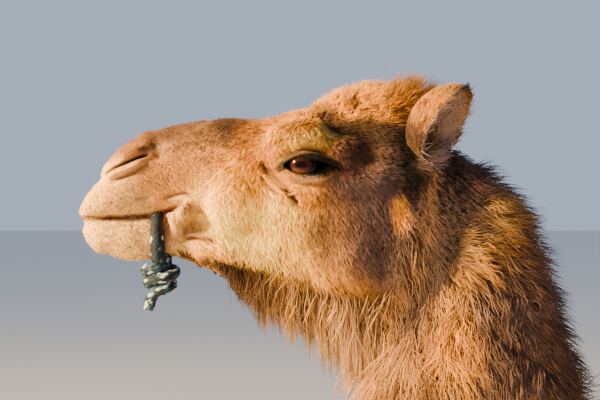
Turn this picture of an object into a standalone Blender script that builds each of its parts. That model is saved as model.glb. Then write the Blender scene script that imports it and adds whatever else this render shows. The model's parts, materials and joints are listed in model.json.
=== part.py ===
"""A standing dromedary camel at life size, as a still museum model.

Metres, +Z up, the animal looks along -X and its left side faces -Y. The body's large
masses are lofted through a few measured sections, fused into one skin-tight form and then
parted with thin cuts into the parts that a person would name. The solids reach to the tips
of the coat. Eyes, nails and the rope noose round the lower jaw are solids of their own.
"""

import math
from dataclasses import dataclass

import bmesh
import bpy
from mathutils import Matrix, Vector

MM = 0.001
GAP = 0.3 * MM  # clear space left between neighbouring solids

# Driving dimensions of the animal.
EYE_BACK = -1.40  # the eyes' place along the body, from the middle of the trunk
EYE_UP = 1.93  # the eyes' height above the ground
EYE_SIDE = 75 * MM
EYE_RADIUS = 23 * MM
HUMP_UP = 1.68  # level at which the hump parts from the back
LEG_TOP = 0.955  # level at which the legs part from the trunk
PASTERN_UP = 0.135  # level at which the feet part from the legs
ROPE_RADIUS = 9 * MM

# Fusing the masses.
VOXEL = 5 * MM
SMOOTH_ROUNDS = 9
BODY_TRIANGLES = 1600
HEAD_TRIANGLES = 2200
RING_POINTS = 28

HIDE = ("hide_coat", (0.50, 0.34, 0.20, 1.0), 0.9, 0.0)
WOOL = ("long_wool", (0.42, 0.30, 0.18, 1.0), 0.95, 0.0)
EYE = ("wet_eye", (0.05, 0.02, 0.01, 1.0), 0.08, 0.0)
HORN = ("nail_horn", (0.10, 0.08, 0.06, 1.0), 0.5, 0.0)
ROPE = ("blue_rope", (0.04, 0.16, 0.24, 1.0), 0.8, 0.0)


@dataclass(frozen=True)
class Stance:
    """How a pair of legs stands."""

    leg: str
    foot: str
    step: float  # how far the right foot is set back, and the left one forward
    foot_back: float
    foot_side: float
    foot_size: float
    bend_up: float  # level of the knee or hock


FORE = Stance("foreleg", "forefoot", 0.035, -0.525, 0.166, 1.0, 0.475)
HIND = Stance("hindleg", "hindfoot", -0.045, 0.600, 0.146, 0.86, 0.51)
SIDES = ((-1, "left"), (1, "right"))


@dataclass
class Ring:
    """One cross-section: a rounded shape round a centre, level across the body.

    Its second direction lies in the mid-plane, `tilt` degrees up from straight back.
    """

    back: float
    up: float
    half_width: float
    over: float  # reach along the tilted direction
    under: float  # reach against it
    tilt: float = 90.0
    side: float = 0.0
    power: float = 2.2  # 2 is an ellipse, more is squarer

    def points(self):
        """The ring's corners, in order."""
        turn = math.radians(self.tilt)
        along = Vector((math.cos(turn), 0.0, math.sin(turn)))
        centre = Vector((self.back, self.side, self.up))
        found = []
        for step in range(RING_POINTS):
            angle = 2 * math.pi * step / RING_POINTS
            flat, steep = math.cos(angle), math.sin(angle)
            across = math.copysign(abs(flat) ** (2 / self.power), flat) * self.half_width
            reach = self.over if steep > 0 else self.under
            rise = math.copysign(abs(steep) ** (2 / self.power), steep) * reach
            found.append(centre + Vector((0.0, across, 0.0)) + along * rise)
        return found


def catmull(before, start, end, after, share):
    """A smooth value between start and end that heads the way its neighbours do."""
    square, cube = share**2, share**3
    return 0.5 * (
        2 * start
        + (end - before) * share
        + (2 * before - 5 * start + 4 * end - after) * square
        + (3 * start - before - 3 * end + after) * cube
    )


def smoothed(rings, steps=4):
    """More rings between the given ones, on smooth curves through each of their fields."""
    found = []
    last = len(rings) - 1
    for index in range(last):
        four = [rings[max(0, min(last, index + shift))] for shift in (-1, 0, 1, 2)]
        for step in range(steps):
            share = step / steps
            fields = zip(*(vars(ring).values() for ring in four))
            found.append(Ring(*(catmull(*values, share) for values in fields)))
    return found + [rings[last]]


def loft(mesh, rings):
    """Adds a closed tube through the rings to a bmesh."""
    loops = [[mesh.verts.new(point) for point in ring.points()] for ring in smoothed(rings)]
    for first, second in zip(loops, loops[1:]):
        for index in range(RING_POINTS):
            following = (index + 1) % RING_POINTS
            mesh.faces.new((first[index], first[following], second[following], second[index]))
    mesh.faces.new(reversed(loops[0]))
    mesh.faces.new(loops[-1])


def ball(mesh, centre, reach, turn=0.0, lean=0.0, roll=0.0, segments=24):
    """Adds an ellipsoid, turned by up to three angles in degrees.

    `turn` lowers its rear end, `lean` swings it level, and `roll` tips its top towards +Y.
    """
    place = (
        Matrix.Translation(centre)
        @ Matrix.Rotation(math.radians(-roll), 4, "X")
        @ Matrix.Rotation(math.radians(lean), 4, "Z")
        @ Matrix.Rotation(math.radians(turn), 4, "Y")
        @ Matrix.Diagonal((*reach, 1.0))
    )
    bmesh.ops.create_uvsphere(
        mesh, u_segments=segments, v_segments=segments // 2, radius=1.0, matrix=place
    )


def in_head(back, side, up):
    """A place in the head, in millimetres from the mid-plane at the eyes' level."""
    return Vector((EYE_BACK + back * MM, side * MM, EYE_UP + up * MM))


def head_ring(back, top, bottom, half_width, power=2.2):
    """An upright section of the head, in millimetres from the eyes' level."""
    middle = (top + bottom) / 2
    place = in_head(back, 0, middle)
    reach = (top - bottom) / 2 * MM
    return Ring(place.x, place.z, half_width * MM, reach, reach, power=power)


def add_head(mesh):
    """Skull with nose, crown and upper lip, the lower jaw, and the masses at their sides."""
    loft(mesh, [
        head_ring(-320, -58, -75, 14),
        head_ring(-313, -47, -79, 28),
        head_ring(-300, -31, -81, 37),
        head_ring(-280, -2, -81, 42),
        head_ring(-258, 22, -80, 44),
        head_ring(-236, 44, -78, 43, 2.1),
        head_ring(-205, 54, -76, 39, 2.1),
        head_ring(-165, 63, -76, 39, 2.1),
        head_ring(-120, 69, -96, 46, 2.2),
        head_ring(-70, 70, -122, 58, 2.2),
        head_ring(-30, 77, -140, 70, 2.3),
        head_ring(10, 91, -152, 75, 2.3),
        head_ring(50, 111, -160, 75, 2.3),
        head_ring(95, 122, -160, 75, 2.2),
        head_ring(135, 119, -150, 74, 2.2),
        head_ring(175, 108, -130, 71, 2.1),
        head_ring(215, 70, -110, 62, 2.1),
    ])
    loft(mesh, [
        head_ring(-311, -82, -94, 14),
        head_ring(-303, -79, -108, 25),
        head_ring(-283, -78, -124, 32),
        head_ring(-252, -76, -136, 35),
        head_ring(-215, -70, -134, 34),
        head_ring(-182, -66, -129, 33),
        head_ring(-140, -70, -146, 36),
        head_ring(-90, -80, -153, 42),
        head_ring(-30, -90, -164, 50),
        head_ring(30, -90, -182, 57),
        head_ring(80, -90, -193, 59),
        head_ring(115, -90, -186, 54),
        head_ring(140, -100, -160, 44),
    ])
    for side in (-1, 1):
        # Brow and rim of the eye socket, which stand well out from the skull.
        ball(mesh, in_head(0, side * 60, 22), (58 * MM, 35 * MM, 36 * MM), lean=side * -8)
        ball(mesh, in_head(44, side * 56, 18), (50 * MM, 30 * MM, 36 * MM), turn=12)
        ball(mesh, in_head(2, side * 63, -12), (46 * MM, 29 * MM, 28 * MM))
        # Cheekbone, running from under the eye to the ear.
        ball(mesh, in_head(62, side * 62, -26), (92 * MM, 20 * MM, 28 * MM), turn=-9)
        # Chewing muscle over the jaw's angle.
        ball(mesh, in_head(68, side * 42, -98), (84 * MM, 26 * MM, 88 * MM), turn=-14)
        # Crest of bone in front of the eye, down towards the back teeth.
        ball(mesh, in_head(-62, side * 40, -40), (80 * MM, 24 * MM, 44 * MM), turn=-22)
        # Root of the ear.
        ball(mesh, in_head(168, side * 46, 26), (34 * MM, 26 * MM, 36 * MM), turn=25)
        # Wing of the nostril.
        ball(mesh, in_head(-250, side * 29, -4), (36 * MM, 16 * MM, 17 * MM), turn=-28)
        # Padded upper lip, split in the middle.
        ball(mesh, in_head(-292, side * 17, -52), (26 * MM, 24 * MM, 27 * MM))
        # Fold of the lower lip at the corner of the mouth.
        ball(mesh, in_head(-169, side * 35, -76), (12 * MM, 12 * MM, 32 * MM), turn=38)


def add_beard(mesh):
    """The curtain of long hair that hangs from the throat, behind the chin."""
    loft(mesh, [
        head_ring(-124, -140, -172, 16),
        head_ring(-104, -138, -192, 26),
        head_ring(-70, -138, -220, 34),
        head_ring(-25, -140, -247, 42),
        head_ring(25, -145, -268, 50),
        head_ring(75, -150, -300, 58),
        head_ring(130, -160, -318, 60),
    ])


def add_neck(mesh):
    """The neck, from the throat down and back to the breast, with its shaggy coat."""
    def ring(back, up, nape, throat, width, tilt):
        place = in_head(back, 0, up)
        return Ring(place.x, place.z, width * MM, nape * MM, throat * MM, tilt)

    loft(mesh, [
        ring(170, 10, 62, 60, 62, 52),
        ring(192, -40, 92, 110, 84, 33),
        ring(206, -95, 120, 120, 92, 24),
        ring(221, -160, 131, 118, 98, 18),
        ring(233, -240, 143, 142, 104, 14),
        ring(245, -327, 158, 170, 110, 14),
        ring(268, -425, 160, 176, 112, 20),
        ring(312, -525, 152, 174, 112, 32),
        ring(380, -612, 148, 172, 114, 50),
        ring(475, -672, 152, 172, 120, 68),
        ring(590, -688, 176, 182, 134, 82),
        ring(705, -668, 212, 212, 152, 88),
        ring(820, -640, 240, 240, 172, 90),
        ring(930, -625, 250, 250, 185, 90),
    ])


def add_trunk(mesh):
    """Breast, barrel and rump in upright sections, with the shoulders, thighs and hump."""
    def section(back, top, bottom, width, power=2.2):
        half = (top - bottom) / 2
        return Ring(back, (top + bottom) / 2, width, half, half, power=power)

    loft(mesh, [
        section(-0.72, 1.46, 1.13, 0.10),
        section(-0.65, 1.54, 1.06, 0.155),
        section(-0.52, 1.63, 0.995, 0.20, 2.0),
        section(-0.38, 1.675, 0.985, 0.235, 2.0),
        section(-0.20, 1.675, 0.99, 0.275),
        section(0.00, 1.67, 1.01, 0.30),
        section(0.18, 1.655, 1.05, 0.285),
        section(0.34, 1.635, 1.12, 0.245),
        section(0.48, 1.62, 1.19, 0.215),
        section(0.60, 1.59, 1.20, 0.195),
        section(0.70, 1.53, 1.19, 0.165),
        section(0.77, 1.45, 1.22, 0.115),
        section(0.80, 1.40, 1.27, 0.06),
    ])
    # The hump: a dome, longer than it is wide.
    loft(mesh, [
        Ring(-0.01, 1.54, 0.235, 0.45, 0.43, 0.0),
        Ring(-0.01, 1.65, 0.212, 0.385, 0.365, 0.0),
        Ring(-0.01, 1.74, 0.182, 0.31, 0.29, 0.0),
        Ring(0.00, 1.82, 0.150, 0.24, 0.225, 0.0),
        Ring(0.01, 1.885, 0.113, 0.175, 0.165, 0.0),
        Ring(0.015, 1.935, 0.070, 0.110, 0.105, 0.0),
        Ring(0.02, 1.96, 0.028, 0.045, 0.045, 0.0),
    ])
    # The hard pad under the breastbone.
    ball(mesh, (-0.47, 0, 1.015), (0.12, 0.085, 0.045))
    for side in (-1, 1):
        # Shoulder blade, upper arm and point of the elbow.
        ball(mesh, (-0.44, side * 0.130, 1.38), (0.14, 0.070, 0.27), turn=-18, roll=side * -17)
        ball(mesh, (-0.54, side * 0.140, 1.22), (0.13, 0.080, 0.17), turn=24)
        ball(mesh, (-0.40, side * 0.165, 1.09), (0.10, 0.060, 0.12), turn=30)
        # Point of the hip and the muscles of the rump and thigh.
        ball(mesh, (0.45, side * 0.130, 1.46), (0.16, 0.070, 0.13), turn=20, roll=side * -22)
        ball(mesh, (0.62, side * 0.115, 1.38), (0.16, 0.085, 0.22), turn=-18, roll=side * -12)


def leg_ring(up, back, side, fore_aft, half_width, power=2.1):
    """A level section of a leg."""
    return Ring(back, up, half_width, fore_aft, fore_aft, 0.0, side, power)


def add_foreleg(mesh, side, step):
    """A foreleg: forearm, knee, cannon and pastern. `step` moves its foot along the body."""
    loft(mesh, [
        leg_ring(1.24, -0.49, side * 0.150, 0.125, 0.070),
        leg_ring(1.12, -0.46, side * 0.158, 0.112, 0.075),
        leg_ring(1.02, -0.455 + step * 0.1, side * 0.160, 0.094, 0.070),
        leg_ring(0.88, -0.465 + step * 0.3, side * 0.160, 0.070, 0.058),
        leg_ring(0.70, -0.475 + step * 0.6, side * 0.160, 0.053, 0.048),
        leg_ring(0.60, -0.480 + step * 0.8, side * 0.160, 0.059, 0.054),
        leg_ring(0.545, -0.484 + step * 0.9, side * 0.160, 0.064, 0.057),
        leg_ring(0.485, -0.480 + step, side * 0.160, 0.055, 0.050),
        leg_ring(0.42, -0.476 + step, side * 0.160, 0.041, 0.038),
        leg_ring(0.28, -0.476 + step, side * 0.162, 0.036, 0.034),
        leg_ring(0.175, -0.480 + step, side * 0.164, 0.042, 0.042),
        leg_ring(0.115, -0.490 + step, side * 0.166, 0.047, 0.048),
        leg_ring(0.05, -0.505 + step, side * 0.166, 0.060, 0.060),
    ])
    add_foot(mesh, FORE.foot_back + step, side * FORE.foot_side, FORE.foot_size)


def add_hindleg(mesh, side, step):
    """A hind leg: thigh, gaskin, hock and cannon. `step` moves its foot along the body."""
    loft(mesh, [
        leg_ring(1.46, 0.615, side * 0.120, 0.150, 0.075),
        leg_ring(1.30, 0.600, side * 0.140, 0.172, 0.085),
        leg_ring(1.15, 0.560, side * 0.150, 0.152, 0.082),
        leg_ring(1.03, 0.535 + step * 0.1, side * 0.150, 0.118, 0.072),
        leg_ring(0.90, 0.570 + step * 0.3, side * 0.148, 0.086, 0.058),
        leg_ring(0.76, 0.625 + step * 0.5, side * 0.145, 0.064, 0.046),
        leg_ring(0.65, 0.672 + step * 0.7, side * 0.143, 0.056, 0.041),
        leg_ring(0.575, 0.694 + step * 0.9, side * 0.142, 0.058, 0.042),
        leg_ring(0.50, 0.690 + step, side * 0.142, 0.046, 0.038),
        leg_ring(0.42, 0.676 + step, side * 0.142, 0.037, 0.034),
        leg_ring(0.28, 0.658 + step, side * 0.143, 0.033, 0.031),
        leg_ring(0.175, 0.644 + step, side * 0.145, 0.038, 0.038),
        leg_ring(0.115, 0.632 + step, side * 0.146, 0.042, 0.043),
        leg_ring(0.05, 0.618 + step, side * 0.146, 0.054, 0.054),
    ])
    add_foot(mesh, HIND.foot_back + step, side * HIND.foot_side, HIND.foot_size)


def add_foot(mesh, back, side, size):
    """A broad two-toed pad. It reaches below the ground, where it is cut flat."""
    ball(mesh, (back + 0.015 * size, side, 0.022), (0.090 * size, 0.078 * size, 0.050))
    for toe in (-1, 1):
        ball(
            mesh,
            (back - 0.052 * size, side + toe * 0.038 * size, 0.018),
            (0.066 * size, 0.040 * size, 0.046),
            lean=toe * -8,
        )


def mesh_object(name, mesh):
    """A new object that holds a finished bmesh, welded and facing out."""
    bmesh.ops.remove_doubles(mesh, verts=mesh.verts, dist=0.01 * MM)
    bmesh.ops.recalc_face_normals(mesh, faces=mesh.faces)
    data = bpy.data.meshes.new(name)
    mesh.to_mesh(data)
    mesh.free()
    piece = bpy.data.objects.new(name, data)
    bpy.context.scene.collection.objects.link(piece)
    return piece


def settled(piece):
    """Replaces a piece's mesh by what its modifiers make of it."""
    bpy.context.view_layer.update()
    graph = bpy.context.evaluated_depsgraph_get()
    data = bpy.data.meshes.new_from_object(piece.evaluated_get(graph))
    piece.modifiers.clear()
    old = piece.data
    piece.data = data
    bpy.data.meshes.remove(old)
    return piece


def thinned(piece, triangles, where=None):
    """Merges a piece's small faces, to leave about that many triangles.

    `where` is a test on a place, to do so in a region only.
    """
    vertices = piece.data.vertices
    chosen = [vertex.index for vertex in vertices if where is None or where(vertex.co)]
    group = piece.vertex_groups.new(name="thin")
    group.add(chosen, 1.0, "REPLACE")
    total = sum(len(face.vertices) - 2 for face in piece.data.polygons)
    elsewhere = total * (1 - len(chosen) / len(vertices))
    decimate = piece.modifiers.new("facets", "DECIMATE")
    decimate.ratio = (triangles + elsewhere) / total
    decimate.use_collapse_triangulate = True
    decimate.vertex_group = group.name
    settled(piece)
    piece.vertex_groups.clear()
    return piece


def fused(piece, voxel, rounds):
    """Melts a piece's overlapping shapes into one smooth form."""
    remesh = piece.modifiers.new("fuse", "REMESH")
    remesh.mode = "VOXEL"
    remesh.voxel_size = voxel
    smooth = piece.modifiers.new("smooth", "SMOOTH")
    smooth.factor = 0.5
    smooth.iterations = rounds
    return settled(piece)


def cut_flat(mesh, place, direction, keep_front):
    """Cuts a bmesh by a plane, keeps one side of it and closes the cut."""
    shift = GAP / 2 if keep_front else -GAP / 2
    found = bmesh.ops.bisect_plane(
        mesh,
        geom=mesh.verts[:] + mesh.edges[:] + mesh.faces[:],
        plane_co=place + direction * shift,
        plane_no=direction,
        clear_inner=keep_front,
        clear_outer=not keep_front,
    )
    rim = [item for item in found["geom_cut"] if isinstance(item, bmesh.types.BMEdge)]
    caps = bmesh.ops.edgeloop_fill(mesh, edges=rim)["faces"]
    bmesh.ops.triangulate(mesh, faces=caps)


def parted(piece, place, direction, front_name, rear_name):
    """Parts a piece by a thin flat cut into two new ones. The first lies along `direction`."""
    place, direction = Vector(place), Vector(direction).normalized()
    found = []
    for name, keep_front in ((front_name, True), (rear_name, False)):
        mesh = bmesh.new()
        mesh.from_mesh(piece.data)
        cut_flat(mesh, place, direction, keep_front)
        found.append(mesh_object(name, mesh))
    bpy.data.objects.remove(piece)
    return found


def loose_pieces(piece):
    """Splits a piece into its separate bodies."""
    mesh = bmesh.new()
    mesh.from_mesh(piece.data)
    left = set(mesh.verts)
    groups = []
    while left:
        waiting = [left.pop()]
        group = set(waiting)
        while waiting:
            vertex = waiting.pop()
            for edge in vertex.link_edges:
                other = edge.other_vert(vertex)
                if other in left:
                    left.remove(other)
                    group.add(other)
                    waiting.append(other)
        groups.append({vertex.index for vertex in group})
    mesh.free()
    found = []
    for number, keep in enumerate(groups):
        copy = bmesh.new()
        copy.from_mesh(piece.data)
        gone = [vertex for vertex in copy.verts if vertex.index not in keep]
        bmesh.ops.delete(copy, geom=gone, context="VERTS")
        found.append(mesh_object(f"{piece.name}_{number}", copy))
    bpy.data.objects.remove(piece)
    return found


def inflated(piece, by):
    """A hidden copy of a piece, grown along its normals, to cut others with."""
    data = piece.data.copy()
    for vertex, normal in zip(data.vertices, [v.normal.copy() for v in data.vertices]):
        vertex.co += normal * by
    cutter = bpy.data.objects.new(piece.name + "_cutter", data)
    bpy.context.scene.collection.objects.link(cutter)
    return cutter


def carved(piece, others, gap=GAP * 1.4):
    """Cuts the other pieces, and a little clearance round them, out of a piece."""
    for other in others:
        cutter = inflated(other, gap)
        boolean = piece.modifiers.new("carve", "BOOLEAN")
        boolean.operation = "DIFFERENCE"
        boolean.object = cutter
        settled(piece)
        bpy.data.objects.remove(cutter)
    return piece


def largest(piece):
    """Keeps a piece's largest body, where a cut left crumbs."""
    name = piece.name
    piece.name = name + "_whole"
    bodies = loose_pieces(piece)
    bodies.sort(key=lambda body: len(body.data.vertices))
    for crumb in bodies[:-1]:
        bpy.data.objects.remove(crumb)
    bodies[-1].name = name
    return bodies[-1]


def make_body():
    """The whole animal in one form, cut flat where it stands on the ground."""
    mesh = bmesh.new()
    add_head(mesh)
    add_beard(mesh)
    add_neck(mesh)
    add_trunk(mesh)
    for side, _ in SIDES:
        add_foreleg(mesh, side, FORE.step * side)
        add_hindleg(mesh, side, HIND.step * side)
    body = mesh_object("body", mesh)
    fused(body, VOXEL, SMOOTH_ROUNDS)

    def ahead_of(back):
        return lambda place: place.x < EYE_BACK + back and place.z > EYE_UP - 0.24

    in_head_zone = ahead_of(0.22)
    thinned(body, BODY_TRIANGLES, lambda place: not in_head_zone(place))
    thinned(body, HEAD_TRIANGLES, ahead_of(0.26))
    mesh = bmesh.new()
    mesh.from_mesh(body.data)
    cut_flat(mesh, Vector((0, 0, -GAP / 2)), Vector((0, 0, 1)), True)
    bpy.data.objects.remove(body)
    return mesh_object("body", mesh)


def part_body(body):
    """Parts the body into head, jaw, beard, neck, trunk, hump and legs."""
    rest, front = parted(body, (-0.665, 0, 1.3), (1, 0, -0.12), "rest", "front")
    nape, throat = in_head(236, 0, 40), in_head(112, 0, -190)
    along = (nape - throat).normalized()
    neck, head = parted(front, nape, (along.z, 0, -along.x), "neck", "head_all")
    lower, upper = parted(neck, in_head(250, 0, -330), (0.16, 0, -1), "lower", "neck_upper")
    parted(lower, in_head(365, 0, -575), (1, 0, -0.75), "neck_lower", "neck_middle")
    under_jaw = [(-150, -150), (-90, -158), (80, -190), (300, -215), (300, -420), (-150, -420)]
    beard, skull = parted_by_outline(head, under_jaw, "beard", "skull")
    mouth = [(-400, -75), (-203, -71), (-185, -64), (-165, -50), (-146, -50), (-138, -72)]
    mouth += [(-84, -260), (-400, -260)]
    parted_by_outline(skull, mouth, "lower_jaw", "head")
    trunk_all, legs = parted(rest, (0, 0, LEG_TOP), (0, 0, 1), "trunk_all", "legs")
    parted(trunk_all, (0, 0, HUMP_UP), (0, 0, 1), "hump", "trunk")
    for leg in loose_pieces(legs):
        centre = sum((v.co for v in leg.data.vertices), Vector()) / len(leg.data.vertices)
        stance = FORE if centre.x < 0 else HIND
        which = "left" if centre.y < 0 else "right"
        level = Vector((0, 0, stance.bend_up)), Vector((0, 0, 1))
        _, shank = parted(leg, *level, f"{stance.leg}_{which}_upper", "shank")
        names = f"{stance.leg}_{which}_lower", f"{stance.foot}_{which}"
        parted(shank, (0, 0, PASTERN_UP), (0, 0, 1), *names)


def add_ear(mesh, side):
    """A short cup of an ear, its mouth turned outwards and back."""
    base = in_head(175, side * 75, 3)
    tip = in_head(212, side * 95, 105)
    up = (tip - base).normalized()
    mouth = Vector((0.83, side * 0.54, -0.10))
    mouth = (mouth - up * mouth.dot(up)).normalized()
    across = up.cross(mouth)
    length, width, depth, wall = (tip - base).length, 43 * MM, 55 * MM, 7 * MM
    bmesh.ops.create_uvsphere(mesh, u_segments=16, v_segments=9, radius=1.0)
    for vertex in mesh.verts:
        height, sideways, front = vertex.co.z, vertex.co.y, vertex.co.x
        rise = base + up * length * (0.5 + 0.5 * height)
        spread = width * sideways * (1.0 - 0.22 * height)
        if sideways * side < 0:  # the margin on the inner side stands wider
            spread *= 1.5
        if front > 0:  # the hollow
            out = wall / 2 - (depth - wall) * front
        else:  # its back
            out = -wall / 2 + depth * front
        out += 8 * MM * height  # the tip curls towards the mouth
        vertex.co = rise + across * spread + mouth * out


def make_ear(side, name):
    """An ear, with its root sunk into the side of the head."""
    mesh = bmesh.new()
    add_ear(mesh, side)
    return mesh_object(name, mesh)


def make_eye(side, name):
    """One eyeball."""
    mesh = bmesh.new()
    place = Matrix.Translation((EYE_BACK, side * EYE_SIDE, EYE_UP)) @ Matrix.Rotation(math.pi / 2, 4, "X")
    bmesh.ops.create_uvsphere(mesh, u_segments=14, v_segments=8, radius=EYE_RADIUS, matrix=place)
    return mesh_object(name, mesh)


def make_nail(stance, side, toe, name):
    """A blunt nail on the front of one toe."""
    back = stance.foot_back + stance.step * side
    size = stance.foot_size
    mesh = bmesh.new()
    place = (back - 0.105 * size, side * stance.foot_side + toe * 0.048 * size, 0.026)
    ball(mesh, place, (0.020 * size, 0.015 * size, 0.012), turn=28, lean=toe * -12, segments=8)
    return mesh_object(name, mesh)


def closed_tube(name, points, radius):
    """A mesh tube round a closed line of points."""
    data = bpy.data.curves.new(name, "CURVE")
    data.dimensions = "3D"
    data.bevel_depth = radius
    data.bevel_resolution = 1
    spline = data.splines.new("POLY")
    spline.points.add(len(points) - 1)
    for point, place in zip(spline.points, points):
        point.co = (*place, 1.0)
    spline.use_cyclic_u = True
    curve = bpy.data.objects.new(name + "_line", data)
    bpy.context.scene.collection.objects.link(curve)
    bpy.context.view_layer.update()
    graph = bpy.context.evaluated_depsgraph_get()
    mesh = bmesh.new()
    mesh.from_mesh(bpy.data.meshes.new_from_object(curve.evaluated_get(graph)))
    bpy.data.objects.remove(curve)
    return mesh_object(name, mesh)


def make_rope_loop(name):
    """The rope noose: through the mouth, down both sides of the lower jaw and under it."""
    points = []
    for step in range(28):
        angle = 2 * math.pi * step / 28
        flat, steep = math.cos(angle), math.sin(angle)
        side = math.copysign(abs(flat) ** 0.7, flat) * 37
        up = -104 + math.copysign(abs(steep) ** 0.7, steep) * (33 if steep > 0 else 37)
        points.append(in_head(-203 - 0.06 * (up + 104), side, up))
    return closed_tube(name, points, ROPE_RADIUS)


def make_rope_knot(name):
    """The knot under the jaw, two turns thick, with a short cut end."""
    mesh = bmesh.new()
    ball(mesh, in_head(-211, -20, -146), (27 * MM, 20 * MM, 14 * MM), turn=8)
    ball(mesh, in_head(-214, -20, -166), (20 * MM, 17 * MM, 13 * MM), turn=-10)
    ball(mesh, in_head(-195, -16, -156), (11 * MM, 12 * MM, 19 * MM), turn=20)
    ball(mesh, in_head(-219, -20, -186), (11 * MM, 10 * MM, 18 * MM), turn=10)
    knot = mesh_object(name, mesh)
    return thinned(fused(knot, 2 * MM, 2), 240)


def make_tail():
    """The thin tail with its hanging tuft."""
    def ring(back, up, reach, width, tilt):
        return Ring(back, up, width * MM, reach * MM, reach * MM, tilt)

    mesh = bmesh.new()
    loft(mesh, [
        ring(0.735, 1.455, 44, 44, 62),
        ring(0.800, 1.425, 40, 42, 50),
        ring(0.845, 1.360, 32, 36, 15),
        ring(0.855, 1.270, 25, 29, 3),
        ring(0.852, 1.150, 20, 24, 0),
        ring(0.850, 1.030, 22, 26, 0),
        ring(0.850, 0.950, 34, 36, 0),
        ring(0.852, 0.870, 36, 38, 0),
        ring(0.855, 0.790, 22, 24, 0),
        ring(0.857, 0.735, 8, 9, 0),
    ])
    return thinned(fused(mesh_object("tail_whole", mesh), 4 * MM, 2), 260)


def named(name):
    """The object of that name."""
    return bpy.data.objects[name]


def parted_by_outline(piece, outline, inside_name, outside_name):
    """Parts a piece by an outline in the mid-plane of the head, drawn right across it."""
    pair = []
    for name, operation, grow in (
        (inside_name, "INTERSECT", 0.0),
        (outside_name, "DIFFERENCE", GAP),
    ):
        mesh = bmesh.new()
        corners = [mesh.verts.new(in_head(back, -200, up)) for back, up in outline]
        face = mesh.faces.new(corners)
        wall = bmesh.ops.extrude_face_region(mesh, geom=[face])["geom"]
        moved = [item for item in wall if isinstance(item, bmesh.types.BMVert)]
        bmesh.ops.translate(mesh, verts=moved, vec=(0.0, 400 * MM, 0.0))
        wedge = mesh_object("wedge", mesh)
        cutter = inflated(wedge, grow)
        bpy.data.objects.remove(wedge)
        copy = bpy.data.objects.new(name, piece.data.copy())
        bpy.context.scene.collection.objects.link(copy)
        boolean = copy.modifiers.new("part", "BOOLEAN")
        boolean.operation = operation
        boolean.object = cutter
        settled(copy)
        bpy.data.objects.remove(cutter)
        pair.append(largest(copy))
    bpy.data.objects.remove(piece)
    return pair


def coloured(piece, finish):
    """Gives a piece one plain material."""
    name, colour, roughness, metallic = finish
    material = bpy.data.materials.get(name)
    if material is None:
        material = bpy.data.materials.new(name)
        material.use_nodes = True
        shader = material.node_tree.nodes["Principled BSDF"]
        shader.inputs["Base Color"].default_value = colour
        shader.inputs["Roughness"].default_value = roughness
        shader.inputs["Metallic"].default_value = metallic
    piece.data.materials.clear()
    piece.data.materials.append(material)


def finish_of(name):
    """The finish that goes with a node's name."""
    for start, finish in (
        ("eye", EYE),
        ("nail", HORN),
        ("rope", ROPE),
        ("beard", WOOL),
        ("neck", WOOL),
        ("hump", WOOL),
        ("tail_tuft", WOOL),
    ):
        if name.startswith(start):
            return finish
    return HIDE


def stood_at_origin(pieces):
    """Puts the middle of the whole model's box over the origin, and each piece's own origin
    in the middle of that piece."""
    places = [vertex.co for piece in pieces for vertex in piece.data.vertices]
    low = Vector(min(place[axis] for place in places) for axis in range(3))
    high = Vector(max(place[axis] for place in places) for axis in range(3))
    shift = Vector((-(low.x + high.x) / 2, -(low.y + high.y) / 2, -low.z))
    for piece in pieces:
        mine = [vertex.co for vertex in piece.data.vertices]
        centre = sum(mine, Vector()) / len(mine)
        piece.data.transform(Matrix.Translation(-centre))
        piece.location = centre + shift


def main():
    for old in list(bpy.data.objects):
        bpy.data.objects.remove(old)
    part_body(make_body())
    tail, _ = parted(make_tail(), (0.85, 0, 0.965), (0, 0, 1), "tail", "tail_tuft")
    carved(tail, [named("trunk")])
    largest(tail)

    loop = make_rope_loop("rope_jaw_loop")
    knot = largest(carved(make_rope_knot("rope_knot"), [loop]))
    carved(named("lower_jaw"), [loop, knot])
    largest(named("lower_jaw"))
    carved(named("head"), [loop, knot])
    carved(named("beard"), [knot])

    for side, which in SIDES:
        eye = make_eye(side, f"eye_{which}")
        carved(named("head"), [eye])
        largest(carved(make_ear(side, f"ear_{which}"), [named("head")]))
    largest(named("head"))

    for stance in (FORE, HIND):
        for side, which in SIDES:
            for toe, row in ((-side, "inner"), (side, "outer")):
                nail = make_nail(stance, side, toe, f"nail_{stance.foot}_{which}_{row}")
                carved(named(f"{stance.foot}_{which}"), [nail])

    pieces = list(bpy.data.objects)
    home = bpy.data.collections.new("dromedary")
    bpy.context.scene.collection.children.link(home)
    for piece in pieces:
        coloured(piece, finish_of(piece.name))
        bpy.context.scene.collection.objects.unlink(piece)
        home.objects.link(piece)
        piece.data.shade_smooth()
    stood_at_origin(pieces)


main()
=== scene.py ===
"""Looks of a standing dromedary camel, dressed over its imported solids.

One skin lies inside the solids by the depth of the coat. The coat is solid tufts and locks that follow the
lie of the hair. The eyes, the nails and the rope on the lower jaw are pieces of their own.
"""

from __future__ import annotations

import json
import logging
import math
from dataclasses import dataclass
from enum import Enum
from typing import ClassVar

import bmesh
import bpy
import numpy as np
from mathutils import Matrix, Vector
from mathutils.bvhtree import BVHTree
from mathutils.kdtree import KDTree

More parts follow.
